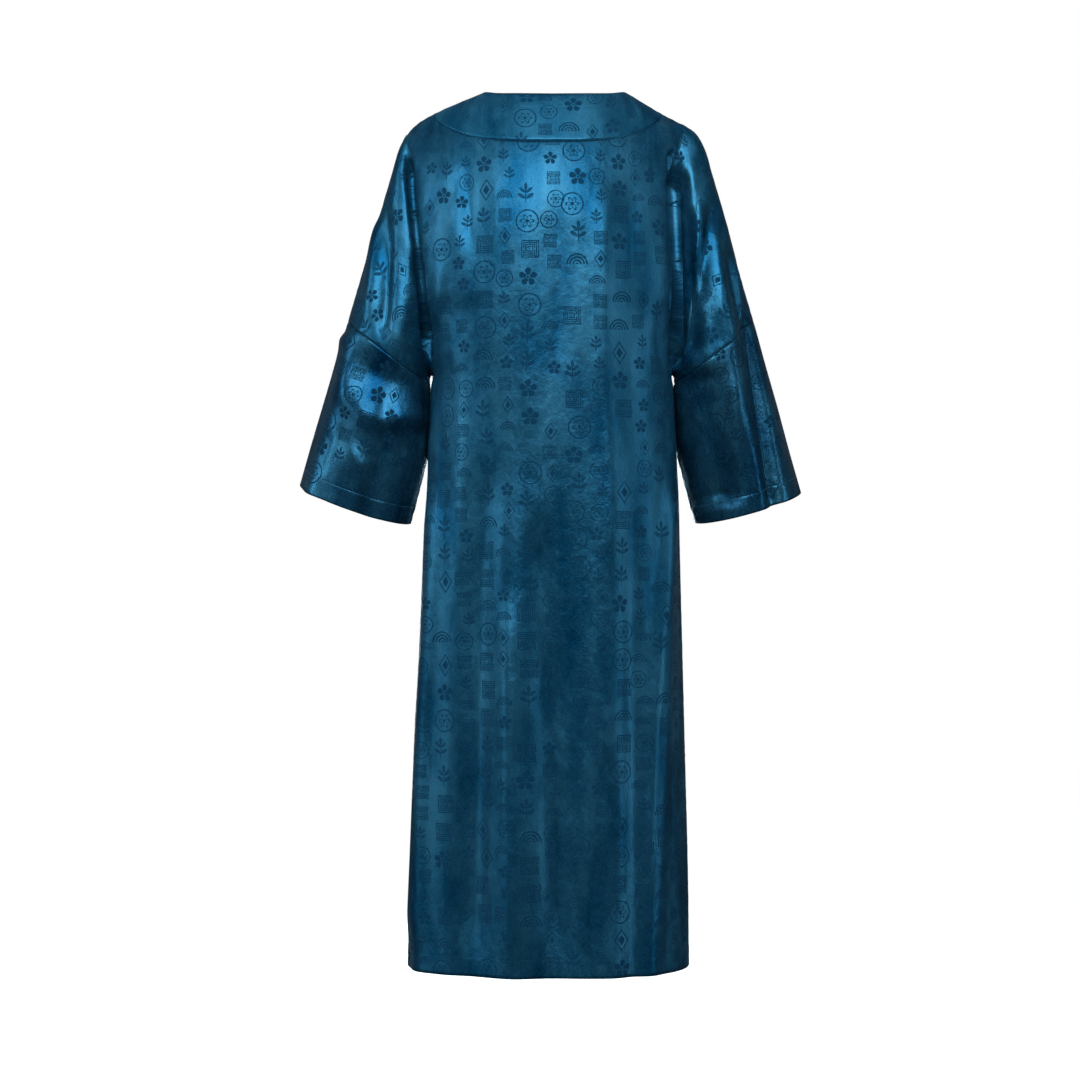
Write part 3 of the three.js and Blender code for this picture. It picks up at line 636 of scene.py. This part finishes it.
def strokeRise(stroke, out, up):  # how far a crease lifts the cloth at each point
    path = np.array(stroke["path"], float)
    starts = runAlong(path)
    lengths = np.linalg.norm(np.diff(path, axis=0), axis=1)
    best, place = np.full(out.shape, np.inf), np.zeros(out.shape)
    for i, (p, q) in enumerate(zip(path, path[1:])):
        run = (q - p) / lengths[i]
        t = np.clip((out - p[0]) * run[0] + (up - p[1]) * run[1], 0, lengths[i])
        apart = np.hypot(out - p[0] - t * run[0], up - p[1] - t * run[1])
        place = np.where(apart < best, (starts[i] + t) / starts[-1], place)
        best = np.minimum(best, apart)
    fade = stroke["fade"]
    ends = smooth(0, fade, place) * (1 - smooth(1 - fade, 1, place))
    return stroke["rise"] * ends * hump(best, stroke["halfWidth"])


def dentRise(dent, out, up):
    lean = math.radians(dent["lean"])
    along = (out - dent["out"]) * math.sin(lean) + (up - dent["up"]) * math.cos(lean)
    across = (out - dent["out"]) * math.cos(lean) - (up - dent["up"]) * math.sin(lean)
    return dent["rise"] * np.exp(-((along / dent["long"]) ** 2) - (across / dent["wide"]) ** 2)


def gather(bm, of):
    return np.array([of(vert) for vert in bm.verts])


facing = (-0.05, 0.25)  # how far the cloth has to face the side that a crease is seen from
seamRoll = {"rise": -0.4, "halfWidth": 3.0}  # cloth turned in at seams
pucker = {"rise": 0.4, "reach": 9, "waves": (0.34, 0.11, 0.047), "sway": 1.7, "from": 0.6}  # along seams
# Where the sleeves rest on the body: how far out, how steeply the cloth faces outward, and how far up
rest = {"rise": 2.0, "out": 167, "halfWidth": 12, "steep": (0.4, 0.9), "from": (-336, -352), "to": (-420, -470)}


def puckerAt(along):
    wave, sway, swell = pucker["waves"]
    ripple = np.sin(along * wave + pucker["sway"] * np.sin(along * sway))
    return pucker["rise"] * (ripple * np.sin(along * swell + pucker["from"]))


def restRise(place, normals):
    beside = smooth(*rest["steep"], np.abs(normals[:, 0]))
    beside = beside * np.exp(-(((np.abs(place[:, 0]) - rest["out"]) / rest["halfWidth"]) ** 4))
    return rest["rise"] * beside * smooth(*rest["from"], place[:, 2]) * (1 - smooth(*rest["to"], place[:, 2]))


def liftCoat(bm, layers):
    bm.normal_update()
    place, normals = gather(bm, lambda v: v.co[:]), gather(bm, lambda v: v.normal[:])
    level = normals * [1, 1, 0]
    level /= np.maximum(np.linalg.norm(level, axis=1), 1e-6)[:, None]
    lift, seam, along = (gather(bm, lambda v: v[layers[key]]) for key in ("lift", "seam", "along"))
    place = place + level * lift[:, None]
    rise = np.zeros(len(place))
    for shapes, riseOf in ((creases, strokeRise), (dents, dentRise)):
        for face, way in (("back", 1), ("front", -1)):
            seen = smooth(*facing, way * normals[:, 1])
            for shape in shapes[face]:
                rise += seen * riseOf(shape, place[:, 0], place[:, 2])
    rise += seamRoll["rise"] * hump(seam, seamRoll["halfWidth"])
    rise += restRise(place, normals)
    rise += puckerAt(along) * np.exp(-seam / pucker["reach"])
    place = place + normals * rise[:, None]
    for vert, co in zip(bm.verts, place):
        vert.co = co * metre
    bm.normal_update()


def addMesh(name, bm):
    mesh = bpy.data.meshes.new(name)
    bm.to_mesh(mesh)
    bm.free()
    made = bpy.data.objects.new(name, mesh)
    scene.collection.objects.link(made)
    return made


def makePiece(whole, number, name):
    bm = whole.copy()
    bmesh.ops.delete(bm, geom=[cell for cell in bm.faces if cell.material_index != number], context="FACES")
    for cell in bm.faces:
        cell.material_index = 0
    cloth = addMesh(name + "_cloth", bm)
    wall = cloth.modifiers.new("wall", "SOLIDIFY")
    wall.thickness = coat["clothThick"] * metre
    wall.offset = 0
    wall.use_even_offset = False
    return cloth


whole, layers = weaveCoat()
liftCoat(whole, layers)
print("cloth laid:", len(whole.verts), "points,", len(whole.faces), "faces")
cloths = {name: makePiece(whole, number, name) for number, name in enumerate(pieces)}
for name, piece in pieces.items():
    area = sum(cell.area for cell in cloths[name].data.polygons)
    print(name, round(area, 4), "square metres")


# Rows of stitches above the cuffs
cuffStitch = {
    "in": 24.6, "pitch": 3.4, "long": 2.5, "wide": 0.55, "high": 0.4, "proud": 0.45,
    "reach": 0.0012, "around": 6, "rings": 4,
}


def cuffLine(number):  # where a sleeve's cloth lies at the stitches' distance from its cuff, in order round it
    rim, points = layers["edge"], []
    for strand in whole.edges:
        first, last = strand.verts
        start, end = first[rim] - cuffStitch["in"], last[rim] - cuffStitch["in"]
        if start * end < 0 and any(cell.material_index == number for cell in strand.link_faces):
            share = start / (start - end)
            points.append((*first.co.lerp(last.co, share), *first.normal.lerp(last.normal, share)))
    points = np.array(points)
    middle = points.mean(axis=0)
    return points[np.argsort(np.arctan2(points[:, 1] - middle[1], points[:, 0] - middle[0]))]


def makeStitches(sleeve):
    line = cuffLine(list(pieces).index(sleeve))
    line = np.vstack([line, line[:1]])
    runs = runAlong(line[:, :3])
    count = int(runs[-1] / (cuffStitch["pitch"] * metre))
    size = Matrix.Diagonal((*(cuffStitch[key] / 2000 for key in ("long", "wide", "high")), 1))
    bm = bmesh.new()
    reach = cuffStitch["reach"]
    for here in (np.arange(count) + 0.5) * runs[-1] / count:
        ends = [Vector([np.interp(here + step, runs, line[:, k]) for k in range(3)]) for step in (-reach, reach)]
        away = Vector([np.interp(here, runs, line[:, k]) for k in range(3, 6)]).normalized()
        run = (ends[1] - ends[0]).normalized()
        turn = Matrix([run, away.cross(run).normalized(), away]).transposed().to_4x4()
        place = Matrix.Translation((ends[0] + ends[1]) / 2 + away * cuffStitch["proud"] * metre) @ turn
        bmesh.ops.create_uvsphere(
            bm, u_segments=cuffStitch["around"], v_segments=cuffStitch["rings"], radius=1, matrix=place @ size
        )
    for cell in bm.faces:
        cell.smooth = True
    made = addMesh(sleeve + "_stitches", bm)
    print(made.name, count, "stitches")
    return made


stitches = {name: makeStitches(name) for name in ("sleeve_left", "sleeve_right")}


# The satin, its woven figures and its shading
def addNode(t, kind, **settings):
    node = t.nodes.new(kind)
    for key, value in settings.items():
        setattr(node, key, value)
    return node


def plug(t, value, socket):
    if isinstance(value, bpy.types.NodeSocket):
        t.links.new(value, socket)
    else:
        socket.default_value = value


def calc(t, operation, *values):
    node = addNode(t, "ShaderNodeMath", operation=operation)
    for value, socket in zip(values, node.inputs):
        plug(t, value, socket)
    return node.outputs[0]


def folded(operation):  # one sum carried on over any number of values
    def fold(t, first, *rest):
        for value in rest:
            first = calc(t, operation, first, value)
        return first

    return fold


times, plus, minus, over, under, either = (
    folded(operation) for operation in ("MULTIPLY", "ADD", "SUBTRACT", "GREATER_THAN", "LESS_THAN", "MAXIMUM")
)


def band(t, value, limits):  # 1 between two limits
    return times(t, over(t, value, limits[0]), under(t, value, limits[1]))


def bell(t, value, middle, half, rise):  # a rounded ridge or groove about one value
    away = calc(t, "POWER", calc(t, "DIVIDE", minus(t, value, middle), half), 2.0)
    return times(t, calc(t, "EXPONENT", times(t, away, -1.0)), rise)


def ramp(t, value, start, end, low, high):
    node = addNode(t, "ShaderNodeMapRange", interpolation_type="SMOOTHSTEP")
    for setting, socket in zip((value, start, end, low, high), node.inputs):
        plug(t, setting, socket)
    return node.outputs[0]


def mixColours(t, share, first, second):
    node = addNode(t, "ShaderNodeMix", data_type="RGBA")
    for value, number in ((share, 0), ((*first, 1) if isinstance(first, tuple) else first, 6), ((*second, 1), 7)):
        plug(t, value, node.inputs[number])
    return node.outputs[2]


def patternSum(t, woven, shares):  # the weave's patterns, each by its share
    return plus(t, *(times(t, woven.outputs[name], share) for name, share in shares.items()))


def raiseSurface(t, height, strength, distance, shader):
    bump = addNode(t, "ShaderNodeBump")
    for name, value in (("Height", height), ("Strength", strength), ("Distance", distance)):
        plug(t, value, bump.inputs[name])
    t.links.new(bump.outputs[0], shader.inputs["Normal"])


def newMaterial(name):
    material = bpy.data.materials.new(name)
    material.use_nodes = True
    return material, material.node_tree, material.node_tree.nodes["Principled BSDF"]


def newGroup(name, inputs, outputs):
    group = bpy.data.node_groups.new(name, "ShaderNodeTree")
    for way, labels in (("INPUT", inputs), ("OUTPUT", outputs)):
        for label in labels:
            kind = "NodeSocketVector" if label in ("Cut", "Wobbled") else "NodeSocketFloat"
            group.interface.new_socket(name=label, in_out=way, socket_type=kind)
    return group, addNode(group, "NodeGroupInput"), addNode(group, "NodeGroupOutput")


# Woven figures, in millimetres from each one's middle, and the share of places that each takes
figureSizes = {
    "roundel": {
        "picked": (0, 0.16), "ring": (14.4, 16.2), "inside": 12.5, "petal": 6.5, "line": (1.6, 3.6), "eye": 2.4,
    },
    "fret": {"picked": (0.16, 0.36), "step": 2.7, "filled": 0.52, "halfGap": 1.3, "half": 13.2},
    "blossom": {"picked": (0.36, 0.54), "petal": 7.5, "waist": 5.2, "round": 0.55, "eye": (1.7, 3.0)},
    "sprig": {"picked": (0.54, 0.74), "stem": (-14.0, 8.0), "halfStem": 0.6, "vein": 0.13},
    "lozenge": {"picked": (0.74, 0.86), "slope": 0.72, "ring": (9.6, 11.6), "core": 5.2},
    "fan": {"picked": (0.86, 1.01), "foot": 6.5, "step": 4.3, "reach": 15.2},
}
sprigLeaves = table(
    ("middle", "lean", "long", "wide"),
    ((6.0, -3.5), 1.0, 6.2, 2.3),
    ((5.0, 5.0), 0.85, 5.6, 2.0),
    ((0.0, 10.5), 0.0, 5.0, 2.2),
)


def leafMask(t, x, y, leaf):
    c, s = math.cos(leaf["lean"]), math.sin(leaf["lean"])
    dx, dy = minus(t, x, leaf["middle"][0]), minus(t, y, leaf["middle"][1])
    along = plus(t, times(t, dx, s / leaf["long"]), times(t, dy, c / leaf["long"]))
    across = minus(t, times(t, dx, c / leaf["wide"]), times(t, dy, s / leaf["wide"]))
    shape = plus(t, times(t, along, along), times(t, across, across))
    return times(t, under(t, shape, 1.0), over(t, calc(t, "ABSOLUTE", across), figureSizes["sprig"]["vein"]))


def makeFigures():
    # Columns of woven figures: roundels, frets, blossoms, sprigs, lozenges and fans
    t, given, result = newGroup("wovenFigures", ["Cut", "Column", "Row", "Size", "Filled", "Seed"], ["Figure"])
    given = given.outputs
    split = addNode(t, "ShaderNodeSeparateXYZ")
    t.links.new(given["Cut"], split.inputs[0])

    def hashOf(dimensions, *values):
        join = addNode(t, "ShaderNodeCombineXYZ")
        noise = addNode(t, "ShaderNodeTexWhiteNoise", noise_dimensions=dimensions)
        for value, socket in zip(values, join.inputs):
            plug(t, value, socket)
        t.links.new(join.outputs[0], noise.inputs["Vector"])
        return noise.outputs

    columnPlace = plus(t, calc(t, "DIVIDE", split.outputs[0], given["Column"]), 100.0)
    column = calc(t, "FLOOR", columnPlace)
    slip = times(t, hashOf("2D", column, given["Seed"])["Value"], 7.0)
    rowPlace = plus(t, calc(t, "DIVIDE", split.outputs[1], given["Row"]), slip)
    row = calc(t, "FLOOR", rowPlace)
    picks = addNode(t, "ShaderNodeSeparateColor")
    t.links.new(hashOf("3D", column, row, given["Seed"])["Color"], picks.inputs[0])
    kind, present, nudge = picks.outputs
    scale = calc(t, "DIVIDE", 1000.0, given["Size"])
    across = minus(t, minus(t, columnPlace, column), 0.5, times(t, minus(t, nudge, 0.5), 0.16))
    x = times(t, across, given["Column"], scale)
    y = times(t, minus(t, rowPlace, row, 0.5), given["Row"], scale)
    r = calc(t, "SQRT", plus(t, times(t, x, x), times(t, y, y)))
    turn = calc(t, "ARCTAN2", y, x)
    flatX, flatY = calc(t, "ABSOLUTE", x), calc(t, "ABSOLUTE", y)
    made = {}
    # a ring round a six-petalled lattice
    size = figureSizes["roundel"]
    petal = calc(t, "ABSOLUTE", calc(t, "COSINE", times(t, turn, 3.0)))
    lattice = band(t, minus(t, r, times(t, petal, size["petal"])), size["line"])
    inside = times(t, under(t, r, size["inside"]), lattice)
    made["roundel"] = either(t, band(t, r, size["ring"]), inside, under(t, r, size["eye"]))
    # squares one in another, each open on one side
    size = figureSizes["fret"]
    square = either(t, flatX, flatY)
    steps = calc(t, "DIVIDE", square, size["step"])
    ring = calc(t, "FLOOR", steps)
    line = under(t, minus(t, steps, ring), size["filled"])
    gapSide = minus(t, times(t, calc(t, "MODULO", ring, 2.0), 2.0), 1.0)
    gap = times(t, over(t, times(t, x, gapSide), 0.0), under(t, flatY, size["halfGap"]))
    made["fret"] = times(t, line, minus(t, 1.0, gap), under(t, square, size["half"]))
    # five full petals with a bare ring round the eye
    size = figureSizes["blossom"]
    five = calc(t, "ABSOLUTE", calc(t, "COSINE", times(t, minus(t, turn, 1.571), 2.5)))
    rim = plus(t, times(t, calc(t, "POWER", five, size["round"]), size["petal"]), size["waist"])
    notch = over(t, plus(t, times(t, five, 3.2), times(t, r, -0.04)), 0.75)
    petals = times(t, under(t, r, rim), notch, over(t, r, size["eye"][1]))
    made["blossom"] = either(t, petals, under(t, r, size["eye"][0]))
    # a stem with mirrored leaves
    size = figureSizes["sprig"]
    stem = times(t, under(t, flatX, size["halfStem"]), band(t, y, size["stem"]))
    made["sprig"] = either(t, *(leafMask(t, flatX, y, leaf) for leaf in sprigLeaves), stem)
    # one lozenge in another
    size = figureSizes["lozenge"]
    slant = plus(t, flatX, times(t, flatY, size["slope"]))
    made["lozenge"] = either(t, band(t, slant, size["ring"]), under(t, slant, size["core"]))
    # half rings one in another
    size = figureSizes["fan"]
    lowY = plus(t, y, size["foot"])
    spread = calc(t, "SQRT", plus(t, times(t, x, x), times(t, lowY, lowY)))
    arcs = under(t, calc(t, "FRACT", calc(t, "DIVIDE", spread, size["step"])), 0.5)
    made["fan"] = times(t, arcs, under(t, spread, size["reach"]), over(t, lowY, 0.0))
    total = plus(t, *(times(t, made[name], band(t, kind, figureSizes[name]["picked"])) for name in figureSizes))
    t.links.new(times(t, total, under(t, present, given["Filled"])), result.inputs["Figure"])
    return t


# Flecks along the weft, thread grain, clouding and slow draws of the cloth: how often each comes
# across and along a metre
patterns = {
    "Fleck": {"often": (260, 900), "detail": 2, "ragged": 0.6},
    "Cloud": {"often": (13, 7), "detail": 4, "ragged": 0.55},
    "Grain": {"often": (2400, 1500), "detail": 1, "ragged": 0.5},
    "Mottle": {"often": (75, 55), "detail": 4, "ragged": 0.6},
    "Drift": {"often": (22, 6), "detail": 2, "ragged": 0.45},
    "Wobbled": {"often": (700, 700), "detail": 1, "ragged": 0.5},  # moves the figures' outlines
}
wobble = 0.002  # metres


def makeWeave():
    t, given, result = newGroup("satinWeave", ["Cut"], list(patterns))
    for name, pattern in patterns.items():
        mapping = addNode(t, "ShaderNodeMapping")
        mapping.inputs["Scale"].default_value = (*pattern["often"], 1)
        t.links.new(given.outputs["Cut"], mapping.inputs["Vector"])
        noise = addNode(t, "ShaderNodeTexNoise", noise_dimensions="3D")
        for key, value in (("Scale", 1.0), ("Detail", pattern["detail"]), ("Roughness", pattern["ragged"])):
            noise.inputs[key].default_value = value
        t.links.new(mapping.outputs[0], noise.inputs["Vector"])
        if name != "Wobbled":
            t.links.new(noise.outputs["Fac"], result.inputs[name])
            continue
        centred = addNode(t, "ShaderNodeVectorMath", operation="SUBTRACT")
        t.links.new(noise.outputs["Color"], centred.inputs[0])
        centred.inputs[1].default_value = (0.5, 0.5, 0.5)
        moved = addNode(t, "ShaderNodeVectorMath", operation="MULTIPLY_ADD")
        t.links.new(centred.outputs[0], moved.inputs[0])
        moved.inputs[1].default_value = (wobble, wobble, 0)
        t.links.new(given.outputs["Cut"], moved.inputs[2])
        t.links.new(moved.outputs[0], result.inputs[name])
    return t


figures, weave = makeFigures(), makeWeave()

# Each satin's shade is the darker colour its ground moves towards: random darker tone of the weave, and painted
# shade in the hollows of the slow draws
satins = table(
    ("slot", "ground", "figure", "shade", "rough", "metal", "stretch", "groove", "stitched", "seed"),
    (
        "satin", (0.021, 0.103, 0.179), (0.0004, 0.027, 0.062), (0.0002, 0.042, 0.096),
        0.37, 0.72, 0.66, 0.35, 0.2, 3.0,
    ),
    (
        "band_satin", (0.018, 0.102, 0.18), (0.0004, 0.027, 0.062), (0.0002, 0.044, 0.098),
        0.38, 0.66, 0.66, 0.15, 0.4, 11.0,
    ),
    # darker figure and shade colours than the body's satin: painted shade that darkens the sleeves
    (
        "sleeve_satin", (0.024, 0.103, 0.174), (0.0004, 0.02, 0.046), (0.0002, 0.028, 0.072),
        0.36, 0.82, 0.25, 1.0, 1.0, 7.0,
    ),
)
# Two sets of figure columns, one between the other
figureColumns = table(
    ("from", "Column", "Row", "Size", "Filled", "Seed"),
    (0, 0.062, 0.037, 0.95, 0.9, 0.0),
    (0.031, 0.062, 0.028, 0.72, 0.88, 5.0),
)
finish = {
    "bareSeam": 1.2,  # millimetres beside a seam without figures
    # how far each pattern moves the cloth's colour between shade and ground: random tone from clouding, flecks and
    # mottle, and painted shade from the slow draws, darker in their hollows and lighter on their ridges
    "toneAndShade": {"Cloud": 1.1, "Fleck": 1.3, "Mottle": 0.7, "Drift": 2.2},
    "toneAndShadeLevel": -2.12,
    "figureRough": 0.55,
    "cloudRough": 0.12,
    "biasMetal": 0.78,  # the least sheen of cloth that hangs on the bias
    "matt": {"Cloud": 0.6, "Mottle": 0.4},
    "mattRange": (0.47, 0.66, 0.0, 0.3),
    "fleckMetal": 0.9,
    "relief": {"Fleck": 0.2, "Grain": 0.05, "Drift": 5.0, "Mottle": 1.4},  # millimetres
    "figureRelief": 0.22,
    "grooveHalf": 1.6,
    "hem": {"from": 24.0, "to": 26.0, "step": 0.45, "stitch": 25.0, "half": 1.5, "pull": -0.5},
    "bump": 0.6,
    "gloss": 0.12,
}


def makeSatin(name, look):
    material, t, shader = newMaterial(name)
    uv = addNode(t, "ShaderNodeUVMap", uv_map="cut")
    woven = addNode(t, "ShaderNodeGroup", node_tree=weave)
    t.links.new(uv.outputs[0], woven.inputs["Cut"])
    masks = []
    for column in figureColumns:
        shifted = addNode(t, "ShaderNodeMapping")
        shifted.inputs["Location"].default_value = (column["from"], 0, 0)
        t.links.new(woven.outputs["Wobbled"], shifted.inputs["Vector"])
        figure = addNode(t, "ShaderNodeGroup", node_tree=figures)
        t.links.new(shifted.outputs[0], figure.inputs["Cut"])
        for key in ("Column", "Row", "Size", "Filled", "Seed"):
            figure.inputs[key].default_value = column[key] + (look["seed"] if key == "Seed" else 0)
        masks.append(figure.outputs["Figure"])
    known = [addNode(t, "ShaderNodeAttribute", attribute_name=key) for key in ("seam", "edge", "zone")]
    seam, edge, zone = (node.outputs["Fac"] for node in known)
    figure = times(t, either(t, *masks), over(t, seam, finish["bareSeam"]))
    # colour between shade and ground: random tone of the weave, and painted shade in the hollows of the slow draws
    # with lighter colour on their ridges
    toneAndShade = plus(t, patternSum(t, woven, finish["toneAndShade"]), finish["toneAndShadeLevel"])
    ground = mixColours(t, toneAndShade, look["shade"], look["ground"])
    t.links.new(mixColours(t, figure, ground, look["figure"]), shader.inputs["Base Color"])
    cloudy = times(t, minus(t, woven.outputs["Cloud"], 0.5), finish["cloudRough"])
    rough = plus(t, times(t, figure, finish["figureRough"]), look["rough"], cloudy)
    t.links.new(rough, shader.inputs["Roughness"])
    metal = either(t, times(t, over(t, zone, 0.5), finish["biasMetal"]), look["metal"])
    matt = ramp(t, patternSum(t, woven, finish["matt"]), *finish["mattRange"])
    flecked = times(t, minus(t, woven.outputs["Fleck"], 0.5), finish["fleckMetal"])
    dulled = plus(t, either(t, figure, matt), flecked)
    t.links.new(times(t, minus(t, 1.0, dulled), metal), shader.inputs["Metallic"])
    # groove of the seam, the turned-up hem and the pull of its stitches
    hem, stitched = finish["hem"], look["stitched"]
    height = plus(
        t,
        bell(t, seam, 0.0, finish["grooveHalf"], -look["groove"]),
        ramp(t, edge, hem["from"], hem["to"], hem["step"] * stitched, 0.0),
        bell(t, edge, hem["stitch"], hem["half"], hem["pull"] * stitched),
        times(t, figure, finish["figureRelief"]),
        patternSum(t, woven, finish["relief"]),
    )
    raiseSurface(t, height, finish["bump"], metre, shader)
    tangent = addNode(t, "ShaderNodeTangent", direction_type="UV_MAP", uv_map="cut")
    t.links.new(tangent.outputs[0], shader.inputs["Tangent"])
    shader.inputs["Anisotropic"].default_value = look["stretch"]
    shader.inputs["Specular IOR Level"].default_value = finish["gloss"]
    return material


thread = {
    "dark": (0.002, 0.040, 0.088), "light": (0.012, 0.130, 0.235), "twist": 900,
    "rough": 0.3, "uneven": 0.2, "sheen": 0.2, "bump": 0.5, "relief": 0.0002,
}


def makeThread():
    material, t, shader = newMaterial("cuffThread")
    where = addNode(t, "ShaderNodeTexCoord")
    twist = addNode(t, "ShaderNodeTexNoise", noise_dimensions="3D")
    twist.inputs["Scale"].default_value = thread["twist"]
    twist.inputs["Detail"].default_value = 2
    t.links.new(where.outputs["Object"], twist.inputs["Vector"])
    strand = twist.outputs["Fac"]
    t.links.new(mixColours(t, strand, thread["dark"], thread["light"]), shader.inputs["Base Color"])
    t.links.new(calc(t, "MULTIPLY_ADD", strand, thread["uneven"], thread["rough"]), shader.inputs["Roughness"])
    raiseSurface(t, strand, thread["bump"], thread["relief"], shader)
    shader.inputs["Sheen Weight"].default_value = thread["sheen"]
    return material


satinOf = {look["slot"]: makeSatin(look["slot"] + "Cloth", look) for look in satins}
for name, piece in pieces.items():
    cloth = cloths[name]
    cloth.data.materials.append(satinOf[piece["slot"]])
    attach(cloth, "root")
    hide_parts(*piece.get("nodes", [name]))
threadLook = makeThread()
for row in stitches.values():
    row.data.materials.append(threadLook)
    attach(row, "root")
print("satin dressed")

# Studio
floorLook = {"up": -1.47, "half": 9.0, "shade": 0.05, "rough": 0.9}
glow = {"from": 0.2, "to": -0.9, "low": 0.010, "high": 0.12}  # dim behind the coat's back, brighter before it
cool = (0.74, 0.96, 1.0)
lamps = table(
    ("name", "place", "target", "size", "power"),
    ("key", (0.2, 3.5, 1.6), (0, 0, -0.2), (3.2, 2.6), 225),
    ("sideKey", (3.3, 1.05, 0.8), (0, 0, -0.25), (0.9, 2.0), 40),
    ("top", (0.0, 1.2, 2.5), (0, 0, -0.1), (2.2, 1.4), 26),
    ("leftStrip", (2.8, 0.9, -0.5), (0, 0, -0.6), (0.35, 2.0), 12),
    ("rightStrip", (-2.8, 1.0, -0.5), (0, 0, -0.6), (0.35, 2.0), 18),
    ("front", (0.25, -3.8, -0.45), (0, 0, -0.45), (0.9, 1.5), 170),
)
view = {"lens": 115.2, "sensor": 36, "far": 60, "place": (0.0163, 4.7, -0.5576)}


def makeFloor():
    bm = bmesh.new()
    bmesh.ops.create_grid(bm, x_segments=2, y_segments=2, size=floorLook["half"])
    bmesh.ops.translate(bm, verts=bm.verts, vec=(0, 0, floorLook["up"]))
    floor = addMesh("floor", bm)
    material, t, shader = newMaterial("paleFloor")
    shader.inputs["Base Color"].default_value = (*[floorLook["shade"]] * 3, 1)
    shader.inputs["Roughness"].default_value = floorLook["rough"]
    shader.inputs["Emission Color"].default_value = (1, 1, 1, 1)
    path = addNode(t, "ShaderNodeLightPath")
    t.links.new(times(t, path.outputs["Is Camera Ray"], 1.0), shader.inputs["Emission Strength"])
    floor.data.materials.append(material)


def makeWorld():
    world = bpy.data.worlds.new("studio")
    scene.world = world
    world.use_nodes = True
    t = world.node_tree
    path, direction = addNode(t, "ShaderNodeLightPath"), addNode(t, "ShaderNodeTexCoord")
    split = addNode(t, "ShaderNodeSeparateXYZ")
    t.links.new(direction.outputs["Generated"], split.inputs[0])
    dim = ramp(t, split.outputs[1], glow["from"], glow["to"], glow["low"], glow["high"])
    back = t.nodes["Background"]
    back.inputs["Color"].default_value = (1, 1, 1, 1)
    t.links.new(either(t, dim, times(t, path.outputs["Is Camera Ray"], 1.0)), back.inputs["Strength"])


def aimLight(lamp):
    light = bpy.data.lights.new(lamp["name"], "AREA")
    light.shape = "RECTANGLE"
    light.size, light.size_y = lamp["size"]
    light.energy = lamp["power"]
    light.color = cool
    made = bpy.data.objects.new(lamp["name"], light)
    scene.collection.objects.link(made)
    made.visible_camera = False
    made.location = lamp["place"]
    made.rotation_euler = (Vector(lamp["target"]) - Vector(lamp["place"])).to_track_quat("-Z", "Y").to_euler()


makeFloor()
makeWorld()
for lamp in lamps:
    aimLight(lamp)

camera = bpy.data.cameras.new("camera")
camera.lens, camera.sensor_width = view["lens"], view["sensor"]
camera.clip_end = view["far"]
eye = bpy.data.objects.new("camera", camera)
scene.collection.objects.link(eye)
eye.location = view["place"]
eye.rotation_euler = (math.pi / 2, 0, math.pi)
scene.camera = eye
scene.view_settings.view_transform = "Standard"
print("studio lit")
